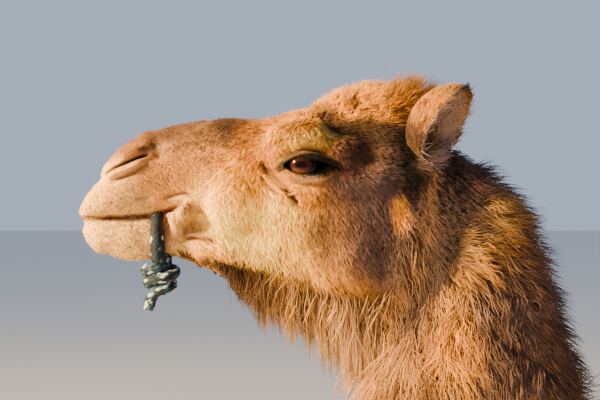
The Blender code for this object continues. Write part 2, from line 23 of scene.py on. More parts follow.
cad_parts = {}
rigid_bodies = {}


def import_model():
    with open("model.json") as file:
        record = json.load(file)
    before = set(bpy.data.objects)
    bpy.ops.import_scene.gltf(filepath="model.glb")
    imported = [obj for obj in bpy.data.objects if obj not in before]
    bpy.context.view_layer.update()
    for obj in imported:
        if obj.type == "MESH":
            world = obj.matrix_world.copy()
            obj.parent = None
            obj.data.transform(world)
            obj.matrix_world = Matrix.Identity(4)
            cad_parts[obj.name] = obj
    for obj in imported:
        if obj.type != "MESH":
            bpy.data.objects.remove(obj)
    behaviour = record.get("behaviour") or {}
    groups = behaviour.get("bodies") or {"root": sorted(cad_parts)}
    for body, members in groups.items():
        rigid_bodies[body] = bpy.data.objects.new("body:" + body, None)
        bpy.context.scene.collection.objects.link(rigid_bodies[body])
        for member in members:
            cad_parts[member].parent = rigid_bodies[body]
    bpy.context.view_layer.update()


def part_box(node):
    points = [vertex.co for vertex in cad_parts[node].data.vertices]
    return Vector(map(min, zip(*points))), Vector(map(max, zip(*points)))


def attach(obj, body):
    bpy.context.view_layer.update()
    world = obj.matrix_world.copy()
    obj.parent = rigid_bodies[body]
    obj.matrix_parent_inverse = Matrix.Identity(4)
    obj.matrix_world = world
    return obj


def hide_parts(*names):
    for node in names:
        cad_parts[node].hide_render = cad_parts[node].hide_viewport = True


LOG = logging.getLogger("dromedary")
MM = 0.001
Array = np.ndarray
Ring = list[bmesh.types.BMVert]
SIDES = (("left", -1), ("right", 1))
DOWN = np.array((0.0, 0.0, -1.0))

LOWER_LEGS = ("foreleg_left_lower", "foreleg_right_lower", "hindleg_left_lower", "hindleg_right_lower")
FEET = ("forefoot_left", "forefoot_right", "hindfoot_left", "hindfoot_right")
FLESH = (
    "head", "lower_jaw", "neck_upper", "neck_middle", "neck_lower", "trunk", "hump", "tail",
    "foreleg_left_upper", "foreleg_left_lower", "foreleg_right_upper", "foreleg_right_lower",
    "hindleg_left_upper", "hindleg_left_lower", "hindleg_right_upper", "hindleg_right_lower",
) + FEET
HEAD_FLESH = ("head", "lower_jaw", "neck_upper", "eye_left", "eye_right")


# ---------------------------------------------------------------- sums on arrays

def ramp(low: float, high: float, value: Array) -> Array:
    """An eased rise from 0 at low to 1 at high. low may be the larger."""
    share = np.clip((value - low) / (high - low), 0.0, 1.0)
    return share * share * (3.0 - 2.0 * share)


def blend(start: Array, end: Array, share: Array) -> Array:
    """start and end mixed by share."""
    return start + (end - start) * share


def layered(start: Array, *layers: tuple[Array | float, Array]) -> Array:
    """start with each layer's value mixed in by its weight, one after another."""
    for value, weight in layers:
        start = blend(start, value, weight)
    return start


def unit(vectors: Array) -> Array:
    """The vectors at length 1."""
    size = np.linalg.norm(vectors, axis=-1, keepdims=True)
    return vectors / np.maximum(size, 1e-9)


def dots(first: Array, second: Array) -> Array:
    """Row by row dot products."""
    return np.einsum("ij,ij->i", first, second)


def grain(points: Array, size: float, seed: int = 0) -> Array:
    """Smooth noise with blobs of one size.

    Args:
        points: places in metres, one row each.
        size: how far apart the blobs are, in metres.
        seed: another number gives another pattern.

    Returns:
        One value from 0 to 1 for each place.
    """
    places = points / size + 31.7 * (seed + 1)
    cell = np.floor(places).astype(np.int64)
    share = places - cell
    share = share * share * (3.0 - 2.0 * share)
    total = np.zeros(len(points))
    for corner in range(8):
        step = np.array((corner & 1, corner >> 1 & 1, corner >> 2 & 1))
        at = cell + step
        mixed = (at[:, 0] * 374761393 + at[:, 1] * 668265263 + at[:, 2] * 1442695041 + seed * 97) & 0xFFFFFFFF
        mixed = ((mixed ^ (mixed >> 13)) * 1274126177) & 0xFFFFFFFF
        value = ((mixed ^ (mixed >> 16)) & 0xFFFF) / 65535.0
        weight = np.prod(np.where(step == 1, share, 1.0 - share), axis=1)
        total += value * weight
    return total


def linear(code: str) -> Array:
    """An sRGB hex colour as linear red, green and blue."""
    value = np.array([int(code[i:i + 2], 16) for i in (1, 3, 5)]) / 255.0
    return np.where(value <= 0.04045, value / 12.92, ((value + 0.055) / 1.055) ** 2.4)


def turned(back: Array, up: Array, degrees: float) -> tuple[Array, Array]:
    """back and up as measures along and over a line that is turned upwards by some degrees."""
    angle = math.radians(degrees)
    return back * math.cos(angle) + up * math.sin(angle), -back * math.sin(angle) + up * math.cos(angle)


def oval(local: Array, centre: tuple[float, float], long: float, high: float, turn: float = 0.0,
         strength: float = 1.0, soft: float = 0.6) -> Array:
    """How strongly a soft oval on each side of the head shows at each place.

    Args:
        local: places as back, side and up, in millimetres.
        centre: the oval's middle, back and up.
        long: its half length.
        high: its half height.
        turn: how far its long axis is turned upwards, in degrees.
        strength: the weight in its middle.
        soft: how wide its edge is, as a share of its size.

    Returns:
        One weight for each place.
    """
    along, over = turned(local[:, 0] - centre[0], local[:, 2] - centre[1], turn)
    return strength * ramp(1.0 + soft / 2, 1.0 - soft / 2, np.hypot(along / long, over / high))


def bend(corners: Array, share: Array) -> Array:
    """A smooth curve between the second and the third of four corners, at a share of the way."""
    a, b, c, d = corners
    return 0.5 * (2 * b + (c - a) * share + (2 * a - 5 * b + 4 * c - d) * share ** 2
                  + (3 * b - a - 3 * c + d) * share ** 3)


def path_reach(points: Array, line: Array) -> tuple[Array, Array, Array]:
    """Where points stand against a bent line in a plane.

    Args:
        points: places in the plane, (n, 2).
        line: the line's corners, (m, 2).

    Returns:
        The distance, the length along the line, and the signed distance, left of the line above 0.
    """
    best = np.full(len(points), 1e9)
    along = np.zeros(len(points))
    signed = np.zeros(len(points))
    walked = 0.0
    last = len(line) - 2
    for number, (start, end) in enumerate(zip(line[:-1], line[1:])):
        step = end - start
        size = float(np.hypot(*step))
        away = points - start
        share = away @ step / size ** 2
        share = np.clip(share, -9.0 if number == 0 else 0.0, 9.0 if number == last else 1.0)
        foot = start + share[:, None] * step
        gap = np.hypot(*(points - foot).T)
        cross = (step[0] * away[:, 1] - step[1] * away[:, 0]) / size
        nearer = gap < best
        best = np.where(nearer, gap, best)
        along = np.where(nearer, walked + share * size, along)
        signed = np.where(nearer, np.where(cross >= 0, gap, -gap), signed)
        walked += size
    return best, along, signed


# ---------------------------------------------------------------- plan of the animal

@dataclass(frozen=True)
class HeadPlan:
    """Measures from the eyes' level in the mid-plane: back, side and up, in millimetres."""

    eye: Vector

    def measure(self, points: Array) -> Array:
        """Places in metres as back, side and up."""
        return (points - np.array((self.eye.x, 0.0, self.eye.z))) / MM

    def place(self, back: float, side: float, up: float) -> Vector:
        """A place in metres."""
        return Vector((self.eye.x + back * MM, side * MM, self.eye.z + up * MM))


@dataclass
class Zones:
    """Which part of the body each place belongs to, as weights, with its measures in the head and neck."""

    head: Array
    neck: Array
    trunk: Array
    hump: Array
    leg: Array
    shin: Array
    foot: Array
    tail: Array
    nape: Array
    throat: Array
    along: Array
    local: Array


class Plan:
    """Sorts places into head, neck, trunk, hump, legs, feet and tail."""

    NECK_LINE = np.array((
        (170, 10), (206, -95), (233, -240), (268, -425), (312, -525), (380, -612), (475, -672),
        (590, -688), (705, -668), (820, -640), (930, -625),
    ), float)
    NECK_START = np.array(((185.0, 60.0), (128.0, -160.0), (98.0, -200.0), (-100.0, -216.0)))

    def __init__(self, head: HeadPlan) -> None:
        """Keeps the head's measures and the boxes that mark the parts."""
        self.head = head
        self.leg_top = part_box("foreleg_left_upper")[1].z
        self.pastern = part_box("forefoot_left")[1].z

    def zones(self, points: Array) -> Zones:
        """Weighs each place.

        Args:
            points: places in metres.

        Returns:
            The weights and the measures.
        """
        local = self.head.measure(points)
        _, _, behind = path_reach(local[:, (0, 2)], self.NECK_START)
        x, y, z = points.T
        _, along, signed = path_reach(local[:, (0, 2)], self.NECK_LINE)
        # Each weight is a product of eased limits along the body's axes, in metres, or along the neck, in
        # millimetres. The last limit of the neck keeps it off the fore legs.
        trunk = ramp(900, 1080, along) * ramp(-0.34, -0.16, x)
        past_head = ramp(-14, 26, behind)
        neck = past_head * (1.0 - trunk) * ramp(0.62, 0.80, z)
        head = 1.0 - past_head
        leg = ramp(self.leg_top + 0.08, self.leg_top - 0.10, z)
        leg = leg * np.maximum(ramp(-0.45, -0.35, x), ramp(0.95, 0.80, z))
        across = np.abs(y)
        hump = ramp(1.55, 1.72, z) * ramp(-0.10, 0.10, x) * ramp(1.05, 0.85, x)
        tail = ramp(1.165, 1.185, x) * ramp(0.062, 0.05, across) * ramp(1.50, 1.44, z) * ramp(0.7, 0.74, z)
        reach = blend(70.0, 130.0, ramp(30, 300, along))
        return Zones(
            head=head,
            neck=neck,
            trunk=trunk * (1 - leg),
            hump=hump,
            leg=leg * (1 - tail),
            shin=ramp(0.52, 0.44, z) * leg * (1 - tail),
            foot=ramp(self.pastern + 0.02, self.pastern - 0.03, z) * leg,
            tail=tail,
            nape=neck * ramp(0.25, 0.85, signed / reach),
            throat=neck * ramp(-0.15, -0.75, signed / reach),
            along=along,
            local=local,
        )


# ---------------------------------------------------------------- colours of skin and coat

@dataclass(frozen=True)
class Patch:
    """A soft oval of one colour on each side of the head, in millimetres from the eye."""

    back: float
    up: float
    long: float
    high: float
    turn: float
    colour: str
    strength: float = 1.0
    soft: float = 0.6

    def weight(self, local: Array) -> Array:
        """How strongly the patch shows at each place."""
        centre = (self.back, self.up)
        return oval(local, centre, self.long, self.high, self.turn, self.strength, self.soft)


class Markings:
    """The camel's colours, the same on skin and coat, with painted shade and a painted highlight in places."""

    TAN = "#C88C4C"
    DEEPER = 1.2
    PATCHES = (
        Patch(-300, -55, 95, 95, 0, "#D2A876", 1.0, 0.7),       # cream muzzle
        Patch(-255, -105, 110, 45, 4, "#D2AC7E", 0.9, 0.7),     # lower lip
        Patch(-225, 42, 64, 24, 24, "#7C4A22", 0.9, 0.8),       # golden top of the nose
        Patch(-135, 50, 100, 27, 10, "#523828", 0.9, 0.9),      # brown bridge
        # darker brown along the top of the bridge, with a painted shadow cast across it
        Patch(-74, 66, 50, 20, 12, "#3A241C", 0.95, 0.9),
        Patch(-160, -10, 80, 42, 0, "#9A6C48", 0.8, 0.9),       # side of the nose, in the colour of a painted cast shadow
        Patch(-150, -72, 36, 36, 0, "#C79A6E", 0.9, 0.8),       # behind the lips' corner
        Patch(-55, -85, 104, 62, -20, "#FFCC7C", 0.95, 0.8),    # cheek
        Patch(-80, -10, 34, 40, 20, "#BE8438", 0.8, 0.9),
        Patch(60, -90, 60, 70, 0, "#8E6042", 0.75, 0.9),
        Patch(30, -92, 26, 34, -20, "#6A4632", 0.6, 1.0),       # darker jaw muscle
        Patch(-6, 38, 46, 26, 4, "#FFC878", 0.95, 0.7),         # brow
        Patch(-56, 26, 30, 40, 30, "#9A5C0C", 0.95, 0.9),       # before the brow
        Patch(-10, 66, 50, 20, 14, "#BC7A30", 0.9, 0.8),        # over the brow
        Patch(80, 96, 110, 40, -6, "#D0924C", 0.95, 0.7),       # crown
        Patch(104, -8, 76, 56, -10, "#4E3B3E", 0.95, 0.7),      # temple: darker hair, with painted shade
        Patch(118, -84, 60, 84, -8, "#5C484A", 0.95, 0.7),      # painted shade in the hollow behind the jaw muscle
        Patch(160, -64, 36, 134, -14, "#403030", 0.95, 0.8),    # dark hair behind the jaw, with painted shade
        Patch(54, 0, 18, 14, 0, "#6A4038", 0.7, 1.0),           # reddish corner behind the eye
        Patch(132, -64, 13, 24, 8, "#C88A50", 0.9, 0.9),        # painted highlight: a lit tuft on the cheek's end
        Patch(42, 57, 32, 13, -30, "#2E1E16", 0.9, 1.0),        # dark band behind the brow, deepened by painted shade in the temple's groove
        # the band runs on towards the ear: dark hair with painted shade
        Patch(100, 44, 54, 17, -8, "#231712", 1.0, 0.7),
        Patch(84, 17, 34, 13, -8, "#3E281C", 0.85, 1.0),
        Patch(150, 18, 24, 66, 4, "#120A07", 0.95, 0.9),        # painted shade in front of the ear
        Patch(-18, -36, 44, 12, -30, "#C08038", 0.8, 0.9),      # lit pouch under the eye
        Patch(2, 5, 42, 21, -4, "#94642E", 0.9, 0.5),           # brown lids
        Patch(6, 0.5, 35, 15.8, -4, "#040202", 1.0, 0.2),       # dark rims of the lids
        Patch(4, -18.5, 24, 3.6, 4, "#B89A88", 0.9, 0.7),       # pale edge of the lower lid
        Patch(38, 1, 16, 6, -8, "#0A0605", 0.95, 0.7),
        Patch(-27, -1, 11, 6, 30, "#0A0605", 0.95, 0.7),
    )

    SWIRL = (
        Patch(256, -72, 60, 24, 62, "#E4B274", 0.95, 0.9),
        Patch(224, -142, 62, 17, 40, "#C08C58", 0.9, 0.9),
    )
    WOOL = (
        Patch(172, -240, 11, 72, 6, "#3A2620", 1.0, 0.9),        # parting
        Patch(204, -228, 32, 60, 8, "#C48C52", 0.85, 0.9),
        Patch(264, -222, 30, 96, 8, "#5A443C", 0.85, 0.9),
        Patch(249, -275, 30, 60, 8, "#5A443C", 0.7, 0.9),
    )
    LOBE = Patch(186, 14, 34, 14, 16, "#A08478", 0.95, 0.8)      # pale hair under the ear

    def __init__(self, plan: Plan) -> None:
        """Keeps the plan of the body."""
        self.plan = plan

    def paint(self, points: Array, zones: Zones) -> Array:
        """The colour at the roots.

        Args:
            points: places in metres.
            zones: their weights.

        Returns:
            Linear colours, one row each.
        """
        local = zones.local
        x, y, z = points.T
        large = grain(points, 0.16, 1)
        middle = grain(points, 0.045, 2)
        small = grain(points, 0.011, 3)
        fine = grain(points, 0.005, 4)
        rgb = np.tile(linear("#BE915F"), (len(points), 1))

        def over(weight: Array, code: str) -> None:
            """Lays a colour on by weight."""
            nonlocal rgb
            rgb = blend(rgb, linear(code), np.clip(weight, 0, 1)[:, None])

        over(zones.hump * ramp(0.3, 0.8, middle) * 0.8, "#8A603A")
        over(ramp(1.5, 1.62, z) * zones.trunk * 0.4, "#9A6E44")
        over(zones.trunk * ramp(1.15, 0.98, z) * 0.7, "#D6B68C")
        over(zones.leg * 0.5, "#C9A274")
        over(zones.shin * 0.45, "#D2AE84")
        over(zones.foot * 0.7, "#A98562")
        over(ramp(0.026, 0.016, z), "#5B483B")
        upper = ramp(980, 480, zones.along)
        over(zones.neck * (0.2 + 0.7 * upper), "#86645A")
        pale = ramp(0.42, 0.70, grain(points, 0.06, 8))
        over(zones.neck * pale * 0.7 * ramp(60, 200, zones.along), "#B98C58")
        dark = ramp(0.58, 0.76, grain(points, 0.05, 7))
        over(zones.neck * dark * 0.75 * (0.3 + 0.7 * upper), "#45291A")
        over(zones.throat * 0.85 * ramp(0.15, 0.5, middle), "#AC7E52")
        strands = grain(points * np.array((1.0, 1.0, 0.22)), 0.010, 15)
        strength = blend(0.8, 0.95, ramp(460, 300, zones.along))
        over(zones.throat * ramp(0.42, 0.56, strands) * strength, "#50341F")
        for wool in self.WOOL:
            over(zones.neck * wool.weight(local), wool.colour)
        over(oval(local, (128, -222), 38, 38, 0, 0.6, 0.9), "#C8986C")
        # dark hair behind the jaw on the neck, with painted shade
        over(zones.neck * oval(local, (162, -80), 62, 122, -4, 0.95), "#382C2C")
        over(zones.nape * 0.85 * ramp(900, 420, zones.along), "#6A4E46")
        curls = ramp(0.2, 0.5, grain(points, 0.014, 14))
        for swirl in self.SWIRL:
            over(zones.neck * swirl.weight(local) * curls, swirl.colour)
        for name in LOWER_LEGS:
            low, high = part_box(name)
            middle_x, middle_y = (low.x + high.x) / 2, (low.y + high.y) / 2
            pad = ramp(0.075, 0.035, np.abs(z - high.z)) * ramp(middle_x, low.x + 0.01, x)
            over(pad * zones.leg * ramp(0.12, 0.06, np.abs(y - middle_y)) * 0.55, "#6E5440")
        over(zones.tail * 0.6, "#A27D58")
        over(zones.tail * ramp(1.02, 0.93, z), "#4B3325")
        head = zones.head
        over(head, self.TAN)
        for patch in self.PATCHES:
            over(head * patch.weight(local) * (0.82 + 0.36 * middle), patch.colour)
        crown = head * ramp(60, 84, local[:, 2]) * ramp(16, 50, local[:, 0])
        over(crown * ramp(0.52, 0.68, small) * 0.6, "#543418")
        brow = head * oval(local, (-8, 42), 52, 26, 4)
        over(brow * ramp(0.60, 0.74, fine) * ramp(26, 38, local[:, 2]) * 0.6, "#7A5A34")
        bridge = head * oval(local, (-120, 50), 110, 34, 12)
        over(bridge * ramp(0.48, 0.64, fine) * 0.6, "#3E2A1B")
        over(self.LOBE.weight(local) * ramp(30, 50, np.abs(local[:, 1])), self.LOBE.colour)
        lips = head * ramp(-195, -235, local[:, 0]) * ramp(-30, -50, local[:, 2])
        over(lips * ramp(0.62, 0.72, grain(points, 0.0022, 5)) * 0.65, "#5E4230")
        # streaks at the lips' corner: hair texture, with painted shade in its folds
        corner = head * oval(local, (-170, -74), 26, 40, -60)
        folds = grain(points * np.array((1.0, 1.0, 0.5)), 0.0035, 16)
        over(corner * ramp(0.42, 0.66, folds) * 0.7, "#7A5232")
        # painted shade along the bottom of each groove and fold
        for crease in CREASES:
            if crease.painted_shade:
                gap, ends = crease.reach(local)
                over(head * ends * np.exp(-(gap / (crease.width * 1.3)) ** 2), crease.painted_shade)
        under = head * ramp(-150, -172, local[:, 2] + 0.14 * local[:, 0])
        over(under * 0.75 * ramp(-175, -120, local[:, 0]), "#4A3423")
        shade = 0.90 + 0.14 * large + 0.14 * (middle - 0.5) + 0.30 * (small - 0.5) + 0.16 * (fine - 0.5)
        grey = (rgb @ np.array((0.3, 0.6, 0.1)))[:, None]
        rgb = grey + (rgb - grey) * blend(1.0, self.DEEPER, ramp(0.08, 0.30, grey))
        return np.clip(rgb * shade[:, None], 0.0, 1.0)

    def tips(self, rgb: Array, points: Array, zones: Zones) -> Array:
        """The colour at the tips of the hairs, from the colour at the roots."""
        bright = np.clip(rgb * 1.18, 0, 1)
        dark = np.tile(linear("#46322A"), (len(points), 1))
        nape = zones.nape * 0.7 * ramp(0.2, 0.6, grain(points, 0.03, 9)) * ramp(900, 420, zones.along)
        return blend(bright, dark, nape[:, None])


# ---------------------------------------------------------------- depth and lie of the coat

@dataclass(frozen=True)
class Stroke:
    """The way the hair lies round one place on the side of the head."""

    back: float
    up: float
    toward_back: float
    toward_up: float
    reach: float = 60.0


class Coat:
    """Depth, length and lie of the hair all over the animal."""

    STROKES = (
        Stroke(-320, -50, -0.2, -1.0), Stroke(-260, -60, -0.5, -0.8), Stroke(-200, -50, -0.5, -0.7),
        Stroke(-220, 40, -1.0, -0.2), Stroke(-130, 60, -1.0, -0.1), Stroke(-150, -20, -0.7, -0.6),
        Stroke(-60, 10, -0.3, -0.9, 40), Stroke(-90, -70, -0.1, -1.0), Stroke(-20, -70, 0.15, -1.0),
        Stroke(60, -80, 0.35, -0.9), Stroke(-240, -115, -0.5, -0.7), Stroke(-120, -110, 0.5, -0.6),
        Stroke(0, -140, 0.7, -0.6), Stroke(10, 45, -0.3, -0.9, 35),
        Stroke(50, 95, 0.6, 0.8, 45), Stroke(130, 100, 0.8, 0.6, 45), Stroke(120, 0, 0.7, -0.6),
        Stroke(-50, 75, -0.8, -0.5, 40),
    )

    def __init__(self, plan: Plan) -> None:
        """Keeps the plan of the body."""
        self.plan = plan

    def depth(self, zones: Zones) -> Array:
        """How far the coat stands over the skin, in millimetres."""
        back, _, up = zones.local.T
        body = layered(
            np.full(len(back), 11.0), (30.0, zones.hump), (5.0, zones.leg), (3.5, zones.shin),
            (2.5, zones.foot), (4.0, zones.tail), (20.0, zones.neck), (36.0, zones.nape),
            (36.0, zones.throat * ramp(900, 700, zones.along)),
        )
        face = layered(
            3.0 + 3.0 * ramp(-180, 20, back),
            (15.0, ramp(55, 95, up) * ramp(-60, 10, back)),          # forehead and crown
            (22.0, ramp(112, 145, back) * ramp(50, 85, up)),         # crest before the ears
            (10.0, ramp(90, 150, back) * ramp(60, 20, up)),          # under the ears
            (7.0, ramp(-125, -160, up) * ramp(-160, -60, back)),     # jaw's underside
        )
        return blend(body, face, zones.head)

    def extra(self, zones: Zones) -> Array:
        """How far the tips stand over the coat's depth, in millimetres: crest, throat and nape."""
        back, _, up = zones.local.T
        crest = zones.head * ramp(108, 132, back) * ramp(70, 86, up)
        throat = zones.throat * ramp(700, 500, zones.along) * ramp(230, 400, zones.along)
        mane = zones.nape * ramp(380, 200, zones.along)
        return 20.0 * crest + 30.0 * throat + 12.0 * mane

    def short(self, zones: Zones) -> Array:
        """Where the neck's hair is short: behind the jaw, up to the nape."""
        return zones.neck * oval(zones.local, (178, -74), 52, 112, 4, 1.0, 0.5) * (1 - zones.nape)

    def length(self, zones: Zones) -> Array:
        """How long the hair is, in millimetres."""
        back, side, up = zones.local.T
        mane = layered(
            blend(26.0, 58.0, ramp(30, 240, zones.along)) * blend(1.0, 0.76, ramp(620, 980, zones.along)),
            (18.0, self.short(zones)), (66.0, zones.nape),
            (106.0, zones.throat * ramp(900, 700, zones.along)),
        )
        body = layered(
            np.full(len(back), 32.0), (78.0, zones.hump), (13.0, zones.leg), (10.0, zones.shin),
            (22.0, zones.tail), (mane, zones.neck),
        )
        face = layered(
            blend(4.5, 12.0, ramp(-200, -40, back)),
            (26.0, ramp(55, 90, up) * ramp(-60, 10, back)),          # forehead and crown
            (24.0, ramp(118, 165, back) * ramp(-60, 60, up)),        # behind the cheek
            (18.0, ramp(-110, -160, up) * ramp(-130, -40, back)),    # jaw's underside
            (6.5, ramp(52, 30, np.hypot(back - 2, up + 4))),         # round the eye
            (10.0, oval(zones.local, (-172, -76), 22, 34, -60)),     # lips' corner
            (52.0, ramp(108, 135, back) * ramp(72, 88, up)),         # crest before the ears
        )
        for crease in CREASES:
            if crease.painted_shade:
                gap, ends = crease.reach(zones.local)
                face = face * (1 - 0.8 * ends * np.exp(-(gap / 8.0) ** 2))
        near_ear = oval(zones.local, (192, 48), 46, 52, 0, 1.0, 0.5) * ramp(25, 45, np.abs(side))
        lobe = Markings.LOBE.weight(zones.local) * ramp(30, 50, np.abs(side))
        return layered(body, (face, zones.head), (10.0, near_ear), (24.0, lobe))

    def lie(self, points: Array, normals: Array, zones: Zones) -> Array:
        """The direction in which the hair lies along the skin.

        Args:
            points: places in metres.
            normals: the skin's normals there.
            zones: the weights there.

        Returns:
            Unit directions, square to the normals.
        """
        local = zones.local
        swirl = zones.neck * oval(local, (250, -88), 84, 36, 52, 0.9, 0.8)
        way = np.tile(np.array((0.55, 0.0, -0.85)), (len(points), 1))
        for toward_back, toward_up, weight in (
            (0.25, -1.0, zones.hump), (0.05, -1.0, zones.leg), (0.35, -1.0, zones.neck),
            (1.0, -0.35, zones.nape), (0.05, -1.0, zones.throat), (1.0, -0.25, swirl),
            (0.0, -1.0, zones.tail),
        ):
            way = blend(way, np.array((toward_back, 0.0, toward_up)), weight[:, None])
        combed = np.zeros((len(points), 3))
        for stroke in self.STROKES:
            gap = np.hypot(local[:, 0] - stroke.back, local[:, 2] - stroke.up)
            weight = np.exp(-(gap / stroke.reach) ** 2) + 1e-6
            combed += weight[:, None] * np.array((stroke.toward_back, 0.0, stroke.toward_up))
        combed = unit(combed)
        combed[:, 1] += np.sign(local[:, 1]) * 0.25 * ramp(20, 60, local[:, 2])
        way = blend(way, combed, zones.head[:, None])
        way = blend(way, np.array((0.9, 0.0, 0.35)), Markings.LOBE.weight(local)[:, None])
        crown = zones.head * ramp(58, 84, local[:, 2]) * ramp(-50, 10, local[:, 0])
        stir = 0.7 + 1.1 * zones.neck + 1.6 * crown
        curls = np.stack([grain(points, 0.04, seed) for seed in (11, 12, 13)], axis=1) - 0.5
        way += curls * stir[:, None]
        way -= normals * dots(way, normals)[:, None]
        return unit(way)


# ---------------------------------------------------------------- meshes

def read_points(mesh: bpy.types.Mesh) -> Array:
    """The vertices' places."""
    flat = np.empty(len(mesh.vertices) * 3, np.float32)
    mesh.vertices.foreach_get("co", flat)
    return flat.reshape(-1, 3).astype(float)


def write_points(mesh: bpy.types.Mesh, points: Array) -> None:
    """Moves the vertices."""
    mesh.vertices.foreach_set("co", points.astype(np.float32).ravel())
    mesh.update()


def read_normals(mesh: bpy.types.Mesh) -> Array:
    """The vertices' normals."""
    flat = np.empty(len(mesh.vertices) * 3, np.float32)
    mesh.vertex_normals.foreach_get("vector", flat)
    return flat.reshape(-1, 3).astype(float)


def add_object(name: str, mesh: bpy.types.Mesh) -> bpy.types.Object:
    """An object at the origin that shows the mesh."""
    piece = bpy.data.objects.new(name, mesh)
    bpy.context.scene.collection.objects.link(piece)
    return piece


def show(name: str, mesh: bpy.types.Mesh, slot: str, *stands_for: str) -> None:
    """Shows a piece of the body.

    Args:
        name: the piece's name.
        mesh: its finished mesh.
        slot: the record's slot for its finish, not used here.
        stands_for: the nodes that it replaces.
    """
    piece = add_object(name, mesh)
    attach(piece, "root")
    if stands_for:
        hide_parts(*stands_for)
    LOG.info("%s: %d faces", name, len(mesh.polygons))


def mesh_of(name: str, work: bmesh.types.BMesh, smooth: bool = True) -> bpy.types.Mesh:
    """Turns a bmesh into a mesh and frees it."""
    mesh = bpy.data.meshes.new(name)
    work.to_mesh(mesh)
    work.free()
    if smooth:
        mesh.shade_smooth()
    return mesh


def tree_of(mesh: bpy.types.Mesh) -> BVHTree:
    """A tree to find places on the mesh."""
    work = bmesh.new()
    work.from_mesh(mesh)
    tree = BVHTree.FromBMesh(work)
    work.free()
    return tree


def ordered_mesh(name: str, work: bmesh.types.BMesh) -> bpy.types.Mesh:
    """Turns a bmesh into a mesh whose faces have a set order, so that its hair grows alike each time.

    Args:
        name: the mesh's name.
        work: the bmesh, freed here.

    Returns:
        The mesh.
    """
    work.verts.index_update()
    faces = [[vertex.index for vertex in face.verts] for face in work.faces]
    mesh = bpy.data.meshes.new(name)
    mesh.from_pydata([tuple(vertex.co) for vertex in work.verts], [], sorted(faces, key=sorted))
    work.free()
    mesh.shade_smooth()
    return mesh


def soften(work: bmesh.types.BMesh, verts: list[bmesh.types.BMVert], rounds: int) -> None:
    """Smooths some of a bmesh's vertices."""
    for _ in range(rounds):
        bmesh.ops.smooth_vert(
            work, verts=verts, factor=0.5, use_axis_x=True, use_axis_y=True, use_axis_z=True)


def divide(work: bmesh.types.BMesh, chosen: Array, cuts: int) -> Array:
    """Divides the edges between chosen vertices.

    Args:
        work: the bmesh.
        chosen: whether each vertex is taken.
        cuts: the cuts on each edge.

    Returns:
        The places of all vertices after that.
    """
    work.verts.ensure_lookup_table()
    edges = [edge for edge in work.edges if chosen[edge.verts[0].index] and chosen[edge.verts[1].index]]
    bmesh.ops.subdivide_edges(work, edges=edges, cuts=cuts, use_grid_fill=True)
    work.verts.ensure_lookup_table()
    return np.array([vertex.co for vertex in work.verts])


def draw_onto(work: bmesh.types.BMesh, tree: BVHTree, share: Array) -> None:
    """Moves each vertex to the nearest place of a tree, by its share of the way."""
    for vertex, weight in zip(work.verts, share):
        if weight > 0:
            vertex.co = vertex.co.lerp(tree.find_nearest(vertex.co)[0], float(weight))


def even(mesh: bpy.types.Mesh, rounds: int, share: float = 0.5, where: Array | None = None) -> None:
    """Smooths a mesh by drawing each vertex towards its neighbours.

    Args:
        mesh: the mesh, changed in place.
        rounds: how many times.
        share: how far each time.
        where: a weight for each vertex, all 1 when left out.
    """
    points = read_points(mesh)
    ends = np.empty(len(mesh.edges) * 2, np.int32)
    mesh.edges.foreach_get("vertices", ends)
    first, second = ends.reshape(-1, 2).T
    count = np.bincount(first, minlength=len(points)) + np.bincount(second, minlength=len(points))
    count = np.maximum(count, 1)[:, None]
    weight = share if where is None else (share * where)[:, None]
    for _ in range(rounds):
        total = np.stack([
            np.bincount(first, points[second, axis], len(points))
            + np.bincount(second, points[first, axis], len(points)) for axis in range(3)
        ], axis=1)
        points = blend(points, total / count, weight)
    write_points(mesh, points)


def fused(names: tuple[str, ...], voxel: float, rounds: int) -> bpy.types.Mesh:
    """One closed mesh round several solids, with the thin cuts between them gone.

    Args:
        names: the nodes to take.
        voxel: the fineness in metres.
        rounds: how often it is smoothed.

    Returns:
        The new mesh.
    """
    work = bmesh.new()
    for name in names:
        work.from_mesh(bpy.data.objects[name].data)
    bmesh.ops.remove_doubles(work, verts=work.verts, dist=1e-5)
    helper = add_object("helper", mesh_of("helper", work))
    modifier = helper.modifiers.new("Remesh", "REMESH")
    modifier.mode = "VOXEL"
    modifier.voxel_size = voxel
    graph = bpy.context.evaluated_depsgraph_get()
    mesh = bpy.data.meshes.new_from_object(helper.evaluated_get(graph))
    bpy.data.objects.remove(helper)
    even(mesh, rounds)
    return mesh


@dataclass(frozen=True)
class Crease:
    """A groove or a ridge along a line on each side of the head, in millimetres from the eye.

    rise is above 0 for a ridge. It fades out over the last part of its length at both ends. painted_shade is the
    colour of painted shade along the bottom of a groove, and across is set where the form runs on over the middle
    of the head. bare is how far from the bottom of a deep groove the hair stays thin.
    """

    line: tuple[tuple[float, float], ...]
    width: float
    rise: float
    fade: float = 0.3
    painted_shade: str = ""
    across: bool = False
    bare: float = 3.0

    def reach(self, local: Array) -> tuple[Array, Array]:
        """The distance from the line in millimetres, and a weight that fades at the ends."""
        line = np.array(self.line, float)
        gap, along, _ = path_reach(local[:, (0, 2)], line)
        share = along / float(np.sum(np.hypot(*np.diff(line, axis=0).T)))
        return gap, ramp(-0.02, self.fade, share) * ramp(1.02, 1.0 - self.fade, share)

    def lift(self, local: Array) -> Array:
        """How far each place moves outwards, in millimetres."""
        gap, ends = self.reach(local)
        middle = 1.0 if self.across else ramp(8, 18, np.abs(local[:, 1]))
        return self.rise * ends * np.exp(-(gap / self.width) ** 2) * middle


